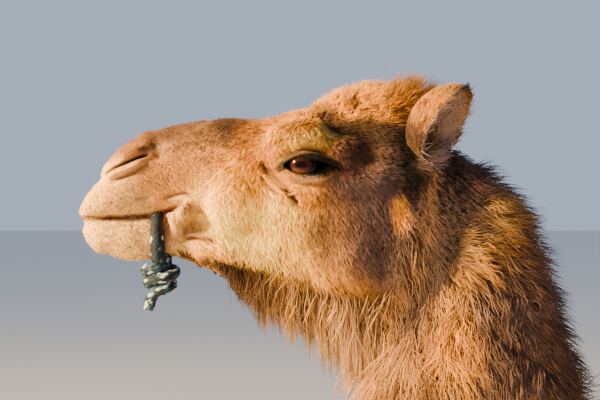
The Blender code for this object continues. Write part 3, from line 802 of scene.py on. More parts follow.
@dataclass(frozen=True)
class Opening:
    """An opening in the side of the head with modelled lids.

    rim is a closed outline in millimetres from the eye. reach is the half width and half height of the oval
    where the lids have become plain skin.
    """

    rim: tuple[tuple[float, float], ...]
    centre: tuple[float, float]
    reach: tuple[float, float]
    turn: float
    segments: int = 64

    def outline(self, angles: Array) -> Array:
        """The rim as an even curve, one place for each angle."""
        corners = np.array(self.rim, float)
        steps = np.linspace(0, len(corners), len(angles), endpoint=False)
        number = steps.astype(int)
        picks = [corners[(number + shift) % len(corners)] for shift in (-1, 0, 1, 2)]
        return bend(picks, (steps - number)[:, None])

    def outer(self, rim: Array) -> Array:
        """The oval round the lips, at the same bearings as the rim."""
        away = rim - np.array(self.centre)
        along, over = turned(away[:, 0], away[:, 1], self.turn)
        bearing = np.arctan2(over / self.reach[1], along / self.reach[0])
        places = turned(self.reach[0] * np.cos(bearing), self.reach[1] * np.sin(bearing), -self.turn)
        return np.stack(places, axis=1) + np.array(self.centre)

    def holds(self, back: float, up: float, margin: float) -> bool:
        """Whether a place lies in the oval round the lips, widened by a margin in millimetres."""
        along, over = turned(back - self.centre[0], up - self.centre[1], self.turn)
        return math.hypot(along / (self.reach[0] + margin), over / (self.reach[1] + margin)) < 1.0


EYE_OPENING = Opening(
    rim=(
        (-24, 0), (-17, 7), (-6, 11.4), (8, 11.8), (21, 8), (36, 2), (23, -7), (9, -12), (-4, -13), (-16, -8),
    ),
    centre=(3, 0), reach=(56, 40), turn=-4,
)
MOUTH_LINE = ((-322, -73), (-290, -74), (-250, -72), (-213, -69), (-193, -64), (-177, -57), (-166, -48))
SLIT_LINE = ((-281, -14), (-267, -5), (-254, 1), (-240, 7), (-228, 12), (-215, 19))
CREASES = (
    # Broad forms first, then folds.
    Crease(((-292, -16), (-280, 2), (-262, 20), (-236, 36)), 15.0, 8.0, 0.3, across=True),  # nose
    Crease(((-235, 46), (-190, 58), (-150, 66), (-100, 69), (-56, 66)), 16.0, 4.0, 0.25, across=True),
    Crease(((-258, 40), (-236, 50), (-210, 54)), 14.0, 6.0, 0.3, across=True),
    Crease(((-324, -54), (-312, -36), (-300, -20)), 10.0, -6.0, 0.25, across=True),
    Crease(((-324, -58), (-326, -74)), 8.0, 5.0, 0.2, across=True),
    Crease(((-316, -82), (-312, -98), (-300, -114), (-280, -126)), 13.0, 7.0, 0.2, across=True),
    Crease(((-300, -56), (-249, -52), (-214, -49)), 13.0, 4.0, 0.3),  # upper lip
    Crease(((-300, -90), (-256, -96), (-221, -99)), 12.0, 4.0, 0.3),  # lower lip
    Crease(((-262, 8), (-248, 16), (-232, 22), (-219, 25)), 9.0, 8.0, 0.3),  # nostril's wing
    Crease(((-214, 40), (-203, 24), (-200, 4)), 9.0, -6.0, 0.3),
    Crease(((-188, -78), (-172, -66), (-156, -52)), 9.0, 14.0, 0.3),  # lips' corner
    Crease(((-142, -48), (-146, -66), (-156, -82), (-172, -94)), 7.0, -6.0, 0.3),
    Crease(((-165, -118), (-123, -121), (-81, -134)), 11.0, 5.0, 0.3),  # jaw's edge
    Crease(((-62, -30), (-100, -24), (-144, -30)), 18.0, 4.0, 0.4),
    Crease(((-43, 20), (-32, 39), (-8, 47), (17, 45), (35, 31)), 11.0, 11.0, 0.25),  # brow
    Crease(((-20, 28), (10, 30)), 10.0, 4.0, 0.4),
    Crease(((18, 66), (50, 52), (92, 39), (124, 30)), 13.0, -7.0, 0.3),  # temple
    Crease(((62, 15), (112, 8)), 19.0, -5.0, 0.4),
    Crease(((40, -7), (78, -20), (126, -27)), 12.0, 4.0, 0.3),  # cheek bone
    Crease(((-18, -34), (10, -42), (38, -34)), 9.0, 5.0, 0.3),
    Crease(((37, -115), (105, -100)), 34.0, 5.0, 0.4),  # jaw's muscle
    Crease(((-96, -92), (-50, -112), (-10, -140)), 16.0, -3.0, 0.3),
    Crease(SLIT_LINE, 2.4, -10.0, 0.14, "#24160F"),
    Crease(((-276, -16), (-259, -9), (-242, -3), (-228, 4), (-217, 11)), 4.6, 6.0, 0.25),  # slit's lower edge
    Crease(((-270, -21), (-250, -15), (-235, -8), (-220, 2), (-210, 13)), 2.6, -4.0, 0.3, "#84603F"),
    Crease(((-260, 18), (-242, 28), (-221, 34)), 3.0, -3.5, 0.3, "#84552E"),
    Crease(MOUTH_LINE, 3.0, -9.0, 0.05, "#4A2C18"),
    Crease(((-199, -46), (-182, -41), (-165, -38), (-145, -44)), 2.6, -4.5, 0.3, "#8C6546"),
    Crease(((-238, -47), (-222, -44), (-207, -41)), 2.2, -2.2, 0.4, "#A5825E"),
    Crease(((-172, -103), (-155, -100), (-130, -103), (-110, -106)), 3.0, -4.5, 0.3, "#84603F"),
    Crease(((-60, 9), (-49, -8), (-37, -21), (-20, -37), (-2, -55)), 3.6, -7.0, 0.10, "#1C0E08",
           bare=1.0),  # tear trough
    Crease(((-48, 3), (-37, -14), (-15, -33)), 2.2, -3.0, 0.25, "#4C2E1A"),
    Crease(((-62, -8), (-50, -24), (-30, -44)), 2.2, -2.2, 0.3, "#8C5C34"),
    Crease(((-32, -9), (-18, -20), (3, -27), (24, -25), (38, -14)), 2.8, -3.0, 0.3, "#8A5C36"),  # lower lid
    Crease(((-46, 2), (-46, 18), (-38, 36)), 3.0, -4.0, 0.3, "#80542C"),
    Crease(((-32, 5), (-18, 15), (0, 20), (20, 18), (38, 10)), 2.0, -5.0, 0.25, "#100A08"),  # upper lid
)


class Skin:
    """The animal's one skin: solids fused, drawn in by the coat's depth, refined and creased on the head."""

    VOXEL = 13.5 * MM
    FINE_VOXEL = 4.0 * MM
    NARROW = 5.0     # the widest crease that needs a finer mesh, in millimetres
    CHEST = -230.0   # the head's mesh is fine above this height, in millimetres from the eye
    EYE_RADIUS = 23.0
    EYE_EDGE = 18.4
    UPPER_LID = 4.4
    LOWER_LID = 3.2
    LID_SHARES = (0.0, 0.02, 0.05, 0.09, 0.14, 0.20, 0.27, 0.36, 0.47, 0.60, 0.76, 1.0)
    INNER = ((0.94, 3.5), (0.80, 9.0), (0.5, 13.0))
    FAR = 200.0

    def __init__(self, plan: Plan, coat: Coat) -> None:
        """Keeps what the skin is made by."""
        self.plan = plan
        self.coat = coat

    def refine(self, mesh: bpy.types.Mesh) -> bpy.types.Mesh:
        """Divides the head and draws it onto a finer copy of its solids."""
        tree = tree_of(fused(HEAD_FLESH, self.FINE_VOXEL, 9))
        zones = self.plan.zones(read_points(mesh))
        work = bmesh.new()
        work.from_mesh(mesh)
        points = divide(work, (zones.head > 0.45) & (zones.local[:, 2] > self.CHEST), 3)
        local = self.plan.head.measure(points)
        near = np.zeros(len(points), bool)
        for crease in CREASES:
            if crease.width <= self.NARROW:
                gap, ends = crease.reach(local)
                near |= (gap < 2.2 * crease.width) & (ends > 0.02) & (np.abs(local[:, 1]) > 12)
        zones = self.plan.zones(divide(work, near, 1))
        share = ramp(0.45, 0.75, zones.head) * ramp(self.CHEST, self.CHEST + 30, zones.local[:, 2])
        draw_onto(work, tree, share)
        return self.closed(work)

    def refine_feet(self, mesh: bpy.types.Mesh) -> bpy.types.Mesh:
        """Divides the feet and draws them onto a finer copy of their solids, up to their nails."""
        tree = tree_of(fused(FEET, self.FINE_VOXEL, 3))
        work = bmesh.new()
        work.from_mesh(mesh)
        top = self.plan.pastern - 0.02
        points = divide(work, read_points(mesh)[:, 2] < top, 1)
        share = ramp(top, top - 0.03, points[:, 2])
        feet = [vertex for vertex, weight in zip(work.verts, share) if weight > 0]
        for _ in range(2):
            soften(work, feet, 1)
            draw_onto(work, tree, share)
        return self.closed(work)

    def closed(self, work: bmesh.types.BMesh) -> bpy.types.Mesh:
        """The skin from a bmesh, with its larger faces cut up."""
        bmesh.ops.triangulate(work, faces=[face for face in work.faces if len(face.verts) > 4])
        bmesh.ops.recalc_face_normals(work, faces=work.faces)
        return mesh_of("skin", work)

    def draw_in(self, mesh: bpy.types.Mesh) -> None:
        """Moves the skin inwards by the depth of the coat, in small steps."""
        depth = self.coat.depth(self.plan.zones(read_points(mesh)))
        steps = 5
        loose = ramp(10, 25, depth)
        for _ in range(steps):
            points = read_points(mesh) - read_normals(mesh) * (depth * MM / steps)[:, None]
            write_points(mesh, points)
            even(mesh, 2, 0.5, loose)

    def crease(self, mesh: bpy.types.Mesh) -> None:
        """Draws the lips, lids' folds and wrinkles."""
        for crease in CREASES:
            points, normals = read_points(mesh), read_normals(mesh)
            local = self.plan.head.measure(points)
            write_points(mesh, points + normals * (crease.lift(local) * MM)[:, None])
        points = read_points(mesh)
        local = self.plan.head.measure(points)
        # The upper lip is split in the middle, and the soles are flat.
        split = np.exp(-(local[:, 1] / 2.5) ** 2)
        split = split * ramp(-292, -304, local[:, 0]) * ramp(-80, -70, local[:, 2])
        write_points(mesh, points + np.array((3.0 * MM, 0, 0)) * split[:, None])
        feet = ramp(0.012, 0.004, points[:, 2])
        points = read_points(mesh)
        points[:, 2] = np.maximum(blend(points[:, 2], 0.0, feet), 0.0)
        write_points(mesh, points)

    def eye_side(self, away: float) -> float:
        """How far out an eyeball's front lies, in millimetres, past its corners too."""
        ball = math.sqrt(max(self.EYE_RADIUS ** 2 - min(away, self.EYE_EDGE) ** 2, 0.0))
        return ball - 0.62 * max(away - self.EYE_EDGE, 0.0)

    def lid_rings(self, work: bmesh.types.BMesh, opening: Opening, side: int) -> list[Ring]:
        """Rings of vertices from the lids' rim out to the plain skin.

        Args:
            work: the skin.
            opening: the rim and its reach.
            side: -1 for left, 1 for right.

        Returns:
            The rings, the rim first.
        """
        tree = BVHTree.FromBMesh(work)
        head = self.plan.head
        rim = opening.outline(np.linspace(0, 2 * math.pi, opening.segments, endpoint=False))
        outer = opening.outer(rim)
        low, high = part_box("eye_left")
        eye_side = abs(low.y + high.y) / 2 / MM
        rings = []
        for share in self.LID_SHARES:
            keep = float(ramp(0.14, 0.52, np.array([share]))[0])
            fold = -1.5 * math.exp(-((share - 0.27) / 0.06) ** 2)
            ring = []
            for (rim_back, rim_up), (outer_back, outer_up) in zip(rim, outer):
                back = rim_back + (outer_back - rim_back) * share
                up = rim_up + (outer_up - rim_up) * share
                hit = tree.ray_cast(head.place(back, side * self.FAR, up), Vector((0, -side, 0)))
                if hit[0] is None:
                    hit = tree.find_nearest(head.place(back, side * 40, up))
                skin = abs(hit[0].y) / MM
                thick = self.UPPER_LID if rim_up > 0 else self.LOWER_LID
                lid = eye_side + self.eye_side(math.hypot(back, up)) + 0.3 + thick * min(share / 0.05, 1.0)
                value = lid + (skin - lid) * keep + fold
                ring.append(work.verts.new(head.place(back, side * value, up)))
            rings.append(ring)
        return rings

    def inner_rings(self, work: bmesh.types.BMesh, opening: Opening, side: int, rim_ring: Ring) -> list[Ring]:
        """Rings of vertices that turn inwards behind the lids' rim, the last one innermost."""
        centre = np.array(opening.centre)
        rim = opening.outline(np.linspace(0, 2 * math.pi, opening.segments, endpoint=False))
        rings = []
        for scale, sink in self.INNER:
            ring = []
            for place, vertex in zip(rim, rim_ring):
                back, up = centre + (place - centre) * scale
                value = abs(vertex.co.y) / MM - sink
                ring.append(work.verts.new(self.plan.head.place(back, side * value, up)))
            rings.append(ring)
        return rings

    def open_up(self, mesh: bpy.types.Mesh, opening: Opening, side: int) -> bpy.types.Mesh:
        """Sets an eye's lids into the skin.

        Args:
            mesh: the skin.
            opening: the rim and its reach.
            side: -1 for left, 1 for right.

        Returns:
            The new skin.
        """
        work = bmesh.new()
        work.from_mesh(mesh)
        head = self.plan.head
        rings = self.lid_rings(work, opening, side)
        inner = self.inner_rings(work, opening, side, rings[0])
        depth = sum(abs(vertex.co.y) for vertex in inner[-1]) / opening.segments / MM - 1.0
        pole = work.verts.new(head.place(opening.centre[0], side * depth, opening.centre[1]))
        rings = inner[::-1] + rings
        steps = [(number, (number + 1) % opening.segments) for number in range(opening.segments)]
        loops = [(pole, rings[0][there], rings[0][here]) for here, there in steps]
        for near, far in zip(rings[:-1], rings[1:]):
            loops += [(near[here], near[there], far[there], far[here]) for here, there in steps]
        for loop in loops:
            work.faces.new(loop if side < 0 else loop[::-1])
        # The plain skin inside the outer ring goes, and the gap is bridged.
        new = {vertex for ring in rings for vertex in ring} | {pole}
        doomed = []
        for vertex in work.verts:
            if vertex not in new and vertex.co.y * side >= 20 * MM:
                back, _, up = head.measure(np.array(vertex.co))
                if opening.holds(back, up, 3.0):
                    doomed.append(vertex)
        bmesh.ops.delete(work, geom=doomed, context="VERTS")
        loose = [vertex for vertex in work.verts if not vertex.link_faces]
        bmesh.ops.delete(work, geom=loose, context="VERTS")
        border = [edge for edge in work.edges if edge.is_boundary]
        made = bmesh.ops.bridge_loops(work, edges=border)
        bmesh.ops.triangulate(work, faces=made["faces"])
        return mesh_of("skin", work)

    def build(self) -> bpy.types.Mesh:
        """Makes the skin without its ears.

        Returns:
            The mesh, not yet coloured.
        """
        mesh = fused(FLESH + ("eye_left", "eye_right"), self.VOXEL, 8)
        mesh = self.refine_feet(self.refine(mesh))
        zones = self.plan.zones(read_points(mesh))
        even(mesh, 3, 0.5, zones.head)
        self.draw_in(mesh)
        self.crease(mesh)
        for _, side in SIDES:
            mesh = self.open_up(mesh, EYE_OPENING, side)
        return mesh


# ---------------------------------------------------------------- materials

def add_node(tree: bpy.types.NodeTree, kind: str, links: dict | None = None, **settings) -> bpy.types.Node:
    """Adds a shader node.

    Args:
        tree: the material's nodes.
        kind: the node's type.
        links: input name or number to a value, or to (node, output).
        settings: the node's own properties.

    Returns:
        The node.
    """
    node = tree.nodes.new(kind)
    for name, value in settings.items():
        setattr(node, name, value)
    for key, value in (links or {}).items():
        if isinstance(value, tuple) and len(value) == 2 and isinstance(value[0], bpy.types.Node):
            tree.links.new(value[0].outputs[value[1]], node.inputs[key])
        else:
            node.inputs[key].default_value = value
    return node


def new_material(name: str) -> tuple[bpy.types.Material, bpy.types.NodeTree, bpy.types.Node]:
    """A material with only a Principled shader, its tree and that shader."""
    material = bpy.data.materials.new(name)
    material.use_nodes = True
    tree = material.node_tree
    tree.nodes.clear()
    shader = add_node(tree, "ShaderNodeBsdfPrincipled")
    add_node(tree, "ShaderNodeOutputMaterial", {"Surface": (shader, 0)})
    return material, tree, shader


def finish(material: bpy.types.Material, shader: bpy.types.Node, **values: float) -> bpy.types.Material:
    """Sets a Principled shader's even values, named with _ for each space, and gives the material back."""
    for name, value in values.items():
        shader.inputs[name.replace("_", " ")].default_value = value
    return material


@dataclass(frozen=True)
class Hide:
    """Short-haired hide: matt, with the fine broken grain of flat hair over skin."""

    hair_mm: float = 2.2
    strength: float = 0.35

    def make(self) -> bpy.types.Material:
        """The material of the skin."""
        material, tree, shader = new_material("camel_hide_short_haired")
        coat = add_node(tree, "ShaderNodeAttribute", attribute_name="Coat")
        where = add_node(tree, "ShaderNodeTexCoord")
        streak = add_node(tree, "ShaderNodeMapping", {"Vector": (where, "Object"), "Scale": (1.0, 1.0, 0.35)})
        hair = add_node(tree, "ShaderNodeTexNoise", {
            "Vector": (streak, 0), "Scale": 1.0 / (self.hair_mm * MM), "Detail": 3.0, "Roughness": 0.6})
        shade = add_node(tree, "ShaderNodeMapRange", {0: (hair, 0), 1: 0.3, 2: 0.7, 3: 0.80, 4: 1.10})
        tone = add_node(tree, "ShaderNodeVectorMath", {
            0: (coat, "Color"), "Scale": (shade, 0)}, operation="SCALE")
        bump = add_node(tree, "ShaderNodeBump", {
            "Height": (hair, 0), "Strength": self.strength, "Distance": 1.0 * MM})
        tree.links.new(tone.outputs[0], shader.inputs["Base Color"])
        tree.links.new(bump.outputs[0], shader.inputs["Normal"])
        return finish(
            material, shader, Roughness=0.72, Specular_IOR_Level=0.15, Sheen_Weight=0.02, Sheen_Roughness=0.5)


@dataclass(frozen=True)
class Hair:
    """Camel hair: fine keratin fibre, matt with a soft sheen where light grazes it."""

    roughness: float = 0.7
    sheen: float = 0.06

    def make(self) -> bpy.types.Material:
        """The material of the coat."""
        material, tree, shader = new_material("camel_hair")
        coat = add_node(tree, "ShaderNodeAttribute", attribute_name="Coat")
        tree.links.new(coat.outputs["Color"], shader.inputs["Base Color"])
        return finish(
            material, shader, Roughness=self.roughness, Specular_IOR_Level=0.15, Sheen_Weight=self.sheen,
            Sheen_Roughness=0.4)


# ---------------------------------------------------------------- scattering and growing hair

class Unwrap:
    """Lays the skin flat in sleeves: head, neck, trunk, each leg and tail, in a part of the map each.

    Each part is its left side, its low side, its width and its height.
    """

    HEAD = (0.0, 0.5, 0.5, 0.5)
    NECK = (0.5, 0.5, 0.5, 0.5)
    TRUNK = (0.0, 0.2, 0.6, 0.3)
    TAIL = (0.6, 0.2, 0.15, 0.3)
    LEG_WIDE, LEG_HIGH = 0.25, 0.2
    TRUNK_AXIS = 1.33
    TAIL_AXIS = 1.26

    def __init__(self, plan: Plan) -> None:
        """Keeps the plan of the body."""
        self.plan = plan

    def lay(self, points: Array, zones: Zones) -> Array:
        """Where each place of the skin lies on the map.

        Args:
            points: places in metres.
            zones: their weights.

        Returns:
            Map places, (n, 2), each from 0 to 1.
        """
        back, side, up = zones.local.T
        x, y, z = points.T

        def rect(across: Array, over: Array, v: Array, left: float, low: float, wide: float, high: float) -> Array:
            """A sleeve's own part of the map, from its bearing round the axis and its share along it."""
            u = np.arctan2(across, over) / (2 * math.pi) + 0.5
            return np.stack((left + wide * (0.01 + 0.98 * np.clip(u, 0, 1)),
                             low + high * (0.01 + 0.98 * np.clip(v, 0, 1))), axis=1)

        axis = -78.0 + 0.16 * (back + 330.0)
        laid = rect(side, up - axis, (back + 335) / 540, *self.HEAD)
        _, along, signed = path_reach(zones.local[:, (0, 2)], Plan.NECK_LINE)
        neck = rect(side, signed, (along + 90) / 1250, *self.NECK)
        trunk = rect(y, z - self.TRUNK_AXIS, (x + 0.40) / 1.65, *self.TRUNK)
        tail = rect(y, x - self.TAIL_AXIS, (z - 0.7) / 0.8, *self.TAIL)
        laid = np.where((zones.neck > 0.5)[:, None], neck, laid)
        laid = np.where((zones.trunk > 0.5)[:, None], trunk, laid)
        laid = np.where((zones.tail > 0.5)[:, None], tail, laid)
        number = 0
        for pair in ("fore", "hind"):
            for name, _ in SIDES:
                low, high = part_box(f"{pair}leg_{name}_lower")
                middle = (low + high) / 2
                mine = (zones.leg > 0.5) & ((x > 0.4) == (pair == "hind")) & ((y < 0) == (name == "left"))
                place = (self.LEG_WIDE * number, 0.0, self.LEG_WIDE, self.LEG_HIGH)
                leg = rect(y - middle.y, x - middle.x, z / 1.05, *place)
                laid = np.where(mine[:, None], leg, laid)
                number += 1
        return laid


class Surface:
    """A mesh's triangles, to scatter roots over."""

    def __init__(self, mesh: bpy.types.Mesh, plan: Plan) -> None:
        """Reads the triangles and weighs their middles."""
        mesh.calc_loop_triangles()
        flat = np.empty(len(mesh.loop_triangles) * 3, np.int32)
        mesh.loop_triangles.foreach_get("vertices", flat)
        corners = flat.reshape(-1, 3)
        self.corners = read_points(mesh)[corners]
        self.normals = read_normals(mesh)[corners]
        start = self.corners[:, 0]
        crossed = np.cross(self.corners[:, 1] - start, self.corners[:, 2] - start)
        self.areas = np.linalg.norm(crossed, axis=1) / 2
        self.centres = self.corners.mean(axis=1)
        self.zones = plan.zones(self.centres)

    def scatter(self, density: Array, rng: np.random.Generator) -> tuple[Array, Array]:
        """Scatters roots evenly.

        Args:
            density: roots for each square metre, one value for each triangle.
            rng: the source of chance.

        Returns:
            Places and normals.
        """
        running = np.cumsum(self.areas * density)
        count = int(running[-1])
        at = (np.arange(count) + rng.random(count)) * (running[-1] / max(count, 1))
        chosen = np.minimum(np.searchsorted(running, at), len(running) - 1)
        first, second = rng.random(count), rng.random(count)
        over = first + second > 1
        first, second = np.where(over, 1 - first, first), np.where(over, 1 - second, second)
        weights = np.stack((1 - first - second, first, second), axis=1)[:, :, None]
        places = (self.corners[chosen] * weights).sum(axis=1)
        return places, unit((self.normals[chosen] * weights).sum(axis=1))


@dataclass(frozen=True)
class Tuft:
    """How one kind of tuft is made. Lengths are in millimetres."""

    rings: int = 0
    width: float = 1.1
    clump: float = 0.0
    gather: float = 0.0
    spread: float = 0.25
    curl: float = 0.0
    turns: float = 0.0
    droop: float = 0.0
    taper: float = 0.7
    vary: float = 0.25
    tone: float = 0.10
    # darker roots: a dark undercoat, with painted shade among the hairs
    root_shade: float = 0.72


@dataclass
class Growth:
    """What a piece of coat grows from."""

    roots: Array
    normals: Array
    way: Array
    length: Array
    rise: Array
    root_rgb: Array
    tip_rgb: Array
    places: Array
    area: float
    stand: Array | None = None


class Fleece:
    """Grows pieces of coat as joined meshes of solid tufts."""

    SIDES = 3
    PATCH = 0.003        # a tuft's size on the bake map
    FLOOR = 0.5 * MM     # no hair goes below this height
    WARMTH = np.array((0.85, 1.0, 1.2))  # dark tufts are redder, and pale ones less so

    def __init__(self, material: bpy.types.Material) -> None:
        """Keeps the finish of the hair."""
        self.material = material

    def lines(self, growth: Growth, tuft: Tuft, rng: np.random.Generator) -> Array:
        """The middle line of each tuft.

        Args:
            growth: the roots and how they grow.
            tuft: the kind of tuft.
            rng: the source of chance.

        Returns:
            Places, (tufts, rings + 2, 3).
        """
        count = len(growth.roots)
        steps = tuft.rings + 1
        length = growth.length * (1 + tuft.vary * rng.uniform(-1, 1, count)) * MM
        stand = np.zeros(count) if growth.stand is None else growth.stand
        if steps == 1:
            stand = np.ones(count)
        lift = np.arcsin(np.clip(growth.rise * MM / length, 0.02, 0.96))
        lift = np.clip(lift * 2.0 / (1.0 + stand), 0.03, 1.45)
        across = np.cross(growth.normals, growth.way)
        swing = rng.normal(0, tuft.spread, count)[:, None]
        heading = growth.way * np.cos(swing) + across * np.sin(swing)
        phase = rng.uniform(0, 2 * math.pi, count)
        slope = tuft.curl * MM * 2 * math.pi * tuft.turns / length
        line = [growth.roots - growth.normals * 0.6 * MM]
        for step in range(steps):
            share = (step + 0.5) / steps
            angle = (lift * (1 - share * (1 - stand)))[:, None]
            course = heading * np.cos(angle) + growth.normals * np.sin(angle) + DOWN * (tuft.droop * share)
            wave = 2 * math.pi * tuft.turns * share + phase
            curl = across * np.cos(wave)[:, None] + growth.normals * np.sin(wave)[:, None]
            course += curl * slope[:, None]
            line.append(line[-1] + unit(course) * (length / steps)[:, None])
        return np.stack(line, axis=1)

    def gathered(self, line: Array, growth: Growth, tuft: Tuft,
                 rng: np.random.Generator) -> tuple[Array, Array]:
        """Draws the tufts of each clump together towards its tip.

        Args:
            line: the middle lines.
            growth: the roots.
            tuft: the kind of tuft.
            rng: the source of chance.

        Returns:
            The new lines, and one value from 0 to 1 for each clump's tone.
        """
        count = len(line)
        wanted = max(3, min(count // 3, int(growth.area / (tuft.clump * MM) ** 2)))
        middles = rng.choice(count, wanted, replace=False)
        tree = KDTree(wanted)
        for number, middle in enumerate(middles):
            tree.insert(growth.roots[middle], number)
        tree.balance()
        nearest = np.array([tree.find(root)[1] for root in growth.roots])
        guide = line[middles[nearest]]
        share = np.linspace(0, 1, line.shape[1])[None, :, None]
        away = (line[:, :1] - guide[:, :1]) * (1 - tuft.gather * share ** 0.8)
        own = (line - line[:, :1]) - (guide - guide[:, :1])
        drawn = guide + away + own * (1 - tuft.gather * 0.85)
        shift = line[:, :1] - drawn[:, :1]
        drawn += shift * (1 - share)
        tones = rng.random(wanted)[nearest]
        return drawn, tones

    def sheath(self, line: Array, growth: Growth, width: Array, taper: float) -> tuple[Array, Array]:
        """The vertices round each tuft's middle line and the normals that the light sees.

        Args:
            line: the middle lines.
            growth: the roots.
            width: half the thickness of each tuft at its root, in metres.
            taper: how it thins towards the tip.

        Returns:
            Places and normals, (tufts, vertices, 3).
        """
        levels = line.shape[1]
        course = unit(np.gradient(line, axis=1))
        across = unit(np.cross(course, np.repeat(growth.normals[:, None], levels, axis=1)))
        over = np.cross(course, across)
        places, facing = [], []
        for level, share in enumerate(np.linspace(0, 1, levels)[:-1]):
            reach = (width * (1 - share) ** taper)[:, None]
            for corner in range(self.SIDES):
                angle = 2 * math.pi * corner / self.SIDES - math.pi / 2
                out = across[:, level] * math.cos(angle) + over[:, level] * math.sin(angle)
                places.append(line[:, level] + out * reach)
                facing.append(unit(growth.normals * 0.55 + out * 0.60))
        places.append(line[:, -1])
        facing.append(growth.normals)
        return np.stack(places, axis=1), np.stack(facing, axis=1)

    def pattern(self, levels: int) -> Array:
        """The triangles of one tuft: a closed root, rings, and a tip."""
        faces = [(0, 2, 1)]
        for low in range(0, (levels - 2) * self.SIDES, self.SIDES):
            high = low + self.SIDES
            for corner in range(self.SIDES):
                following = (corner + 1) % self.SIDES
                faces.append((low + corner, low + following, high + following))
                faces.append((low + corner, high + following, high + corner))
        top = (levels - 2) * self.SIDES
        for corner in range(self.SIDES):
            faces.append((top + corner, top + (corner + 1) % self.SIDES, top + self.SIDES))
        return np.array(faces)

    def grow(self, name: str, growth: Growth, tuft: Tuft, seed: int, slot: str = "coat_short",
             stands_for: tuple[str, ...] = ()) -> None:
        """Grows one piece of coat.

        Args:
            name: the piece's name.
            growth: its roots.
            tuft: its kind of tuft.
            seed: the start of its chances.
            slot: the record's slot for its finish.
            stands_for: the nodes that it replaces.
        """
        rng = np.random.default_rng(seed)
        line = self.lines(growth, tuft, rng)
        tones = rng.random(len(line))
        if tuft.clump > 0:
            line, clumped = self.gathered(line, growth, tuft, rng)
            tones = 0.55 * clumped + 0.45 * tones
        count, levels = line.shape[:2]
        width = tuft.width * MM / 2 * (1 + 0.3 * rng.uniform(-1, 1, count))
        points, shading = self.sheath(line, growth, width, tuft.taper)
        per = points.shape[1]
        points = points.reshape(-1, 3)
        points[:, 2] = np.maximum(points[:, 2], self.FLOOR)
        faces = (np.arange(count)[:, None, None] * per + self.pattern(levels)[None]).reshape(-1, 3)
        at = np.concatenate([np.repeat(np.linspace(0, 1, levels)[:-1], self.SIDES), [1.0]])
        # the roots darker: undercoat and painted shade among the hairs
        root_rgb = growth.root_rgb[:, None] * tuft.root_shade
        rgb = blend(root_rgb, growth.tip_rgb[:, None], (at ** 0.8)[None, :, None])
        rgb = rgb * (1 + tuft.tone * (2 * tones - 1))[:, None, None] ** self.WARMTH
        spot = np.stack((np.tile((0.0, 0.5, 1.0), levels)[:per], at), axis=1) - 0.5
        spots = growth.places[:, None] + spot[None] * self.PATCH
        rgb = np.clip(rgb, 0, 1).reshape(-1, 3)
        mesh = self.mesh_from(name, points, faces, shading.reshape(-1, 3), rgb, spots.reshape(-1, 2))
        mesh.materials.append(self.material)
        show(name, mesh, slot, *stands_for)

    def mesh_from(self, name: str, points: Array, faces: Array, normals: Array, rgb: Array,
                  spots: Array) -> bpy.types.Mesh:
        """A mesh of many joined tufts, from arrays.

        Args:
            name: the mesh's name.
            points: the vertices.
            faces: the triangles.
            normals: the normals that the light sees, near the skin's own.
            rgb: each vertex's colour.
            spots: each vertex's place on the bake map.

        Returns:
            The mesh.
        """
        mesh = bpy.data.meshes.new(name)
        mesh.vertices.add(len(points))
        mesh.vertices.foreach_set("co", points.astype(np.float32).ravel())
        mesh.loops.add(len(faces) * 3)
        mesh.loops.foreach_set("vertex_index", faces.astype(np.int32).ravel())
        mesh.polygons.add(len(faces))
        mesh.polygons.foreach_set("loop_start", np.arange(0, len(faces) * 3, 3, dtype=np.int32))
        mesh.update(calc_edges=True)
        mesh.shade_smooth()
        layer = mesh.uv_layers.new(name="OFBake")
        layer.uv.foreach_set("vector", spots[faces.ravel()].astype(np.float32).ravel())
        set_colours(mesh, rgb)
        mesh.normals_split_custom_set_from_vertices(normals.astype(np.float32))
        return mesh


@dataclass(frozen=True)
class CoatPiece:
    """One piece of the coat: where it grows and how."""

    name: str
    where: str
    density: float
    tuft: Tuft
    seed: int
    rise: float = 1.0
    slot: str = "coat_short"
    side: int = 0


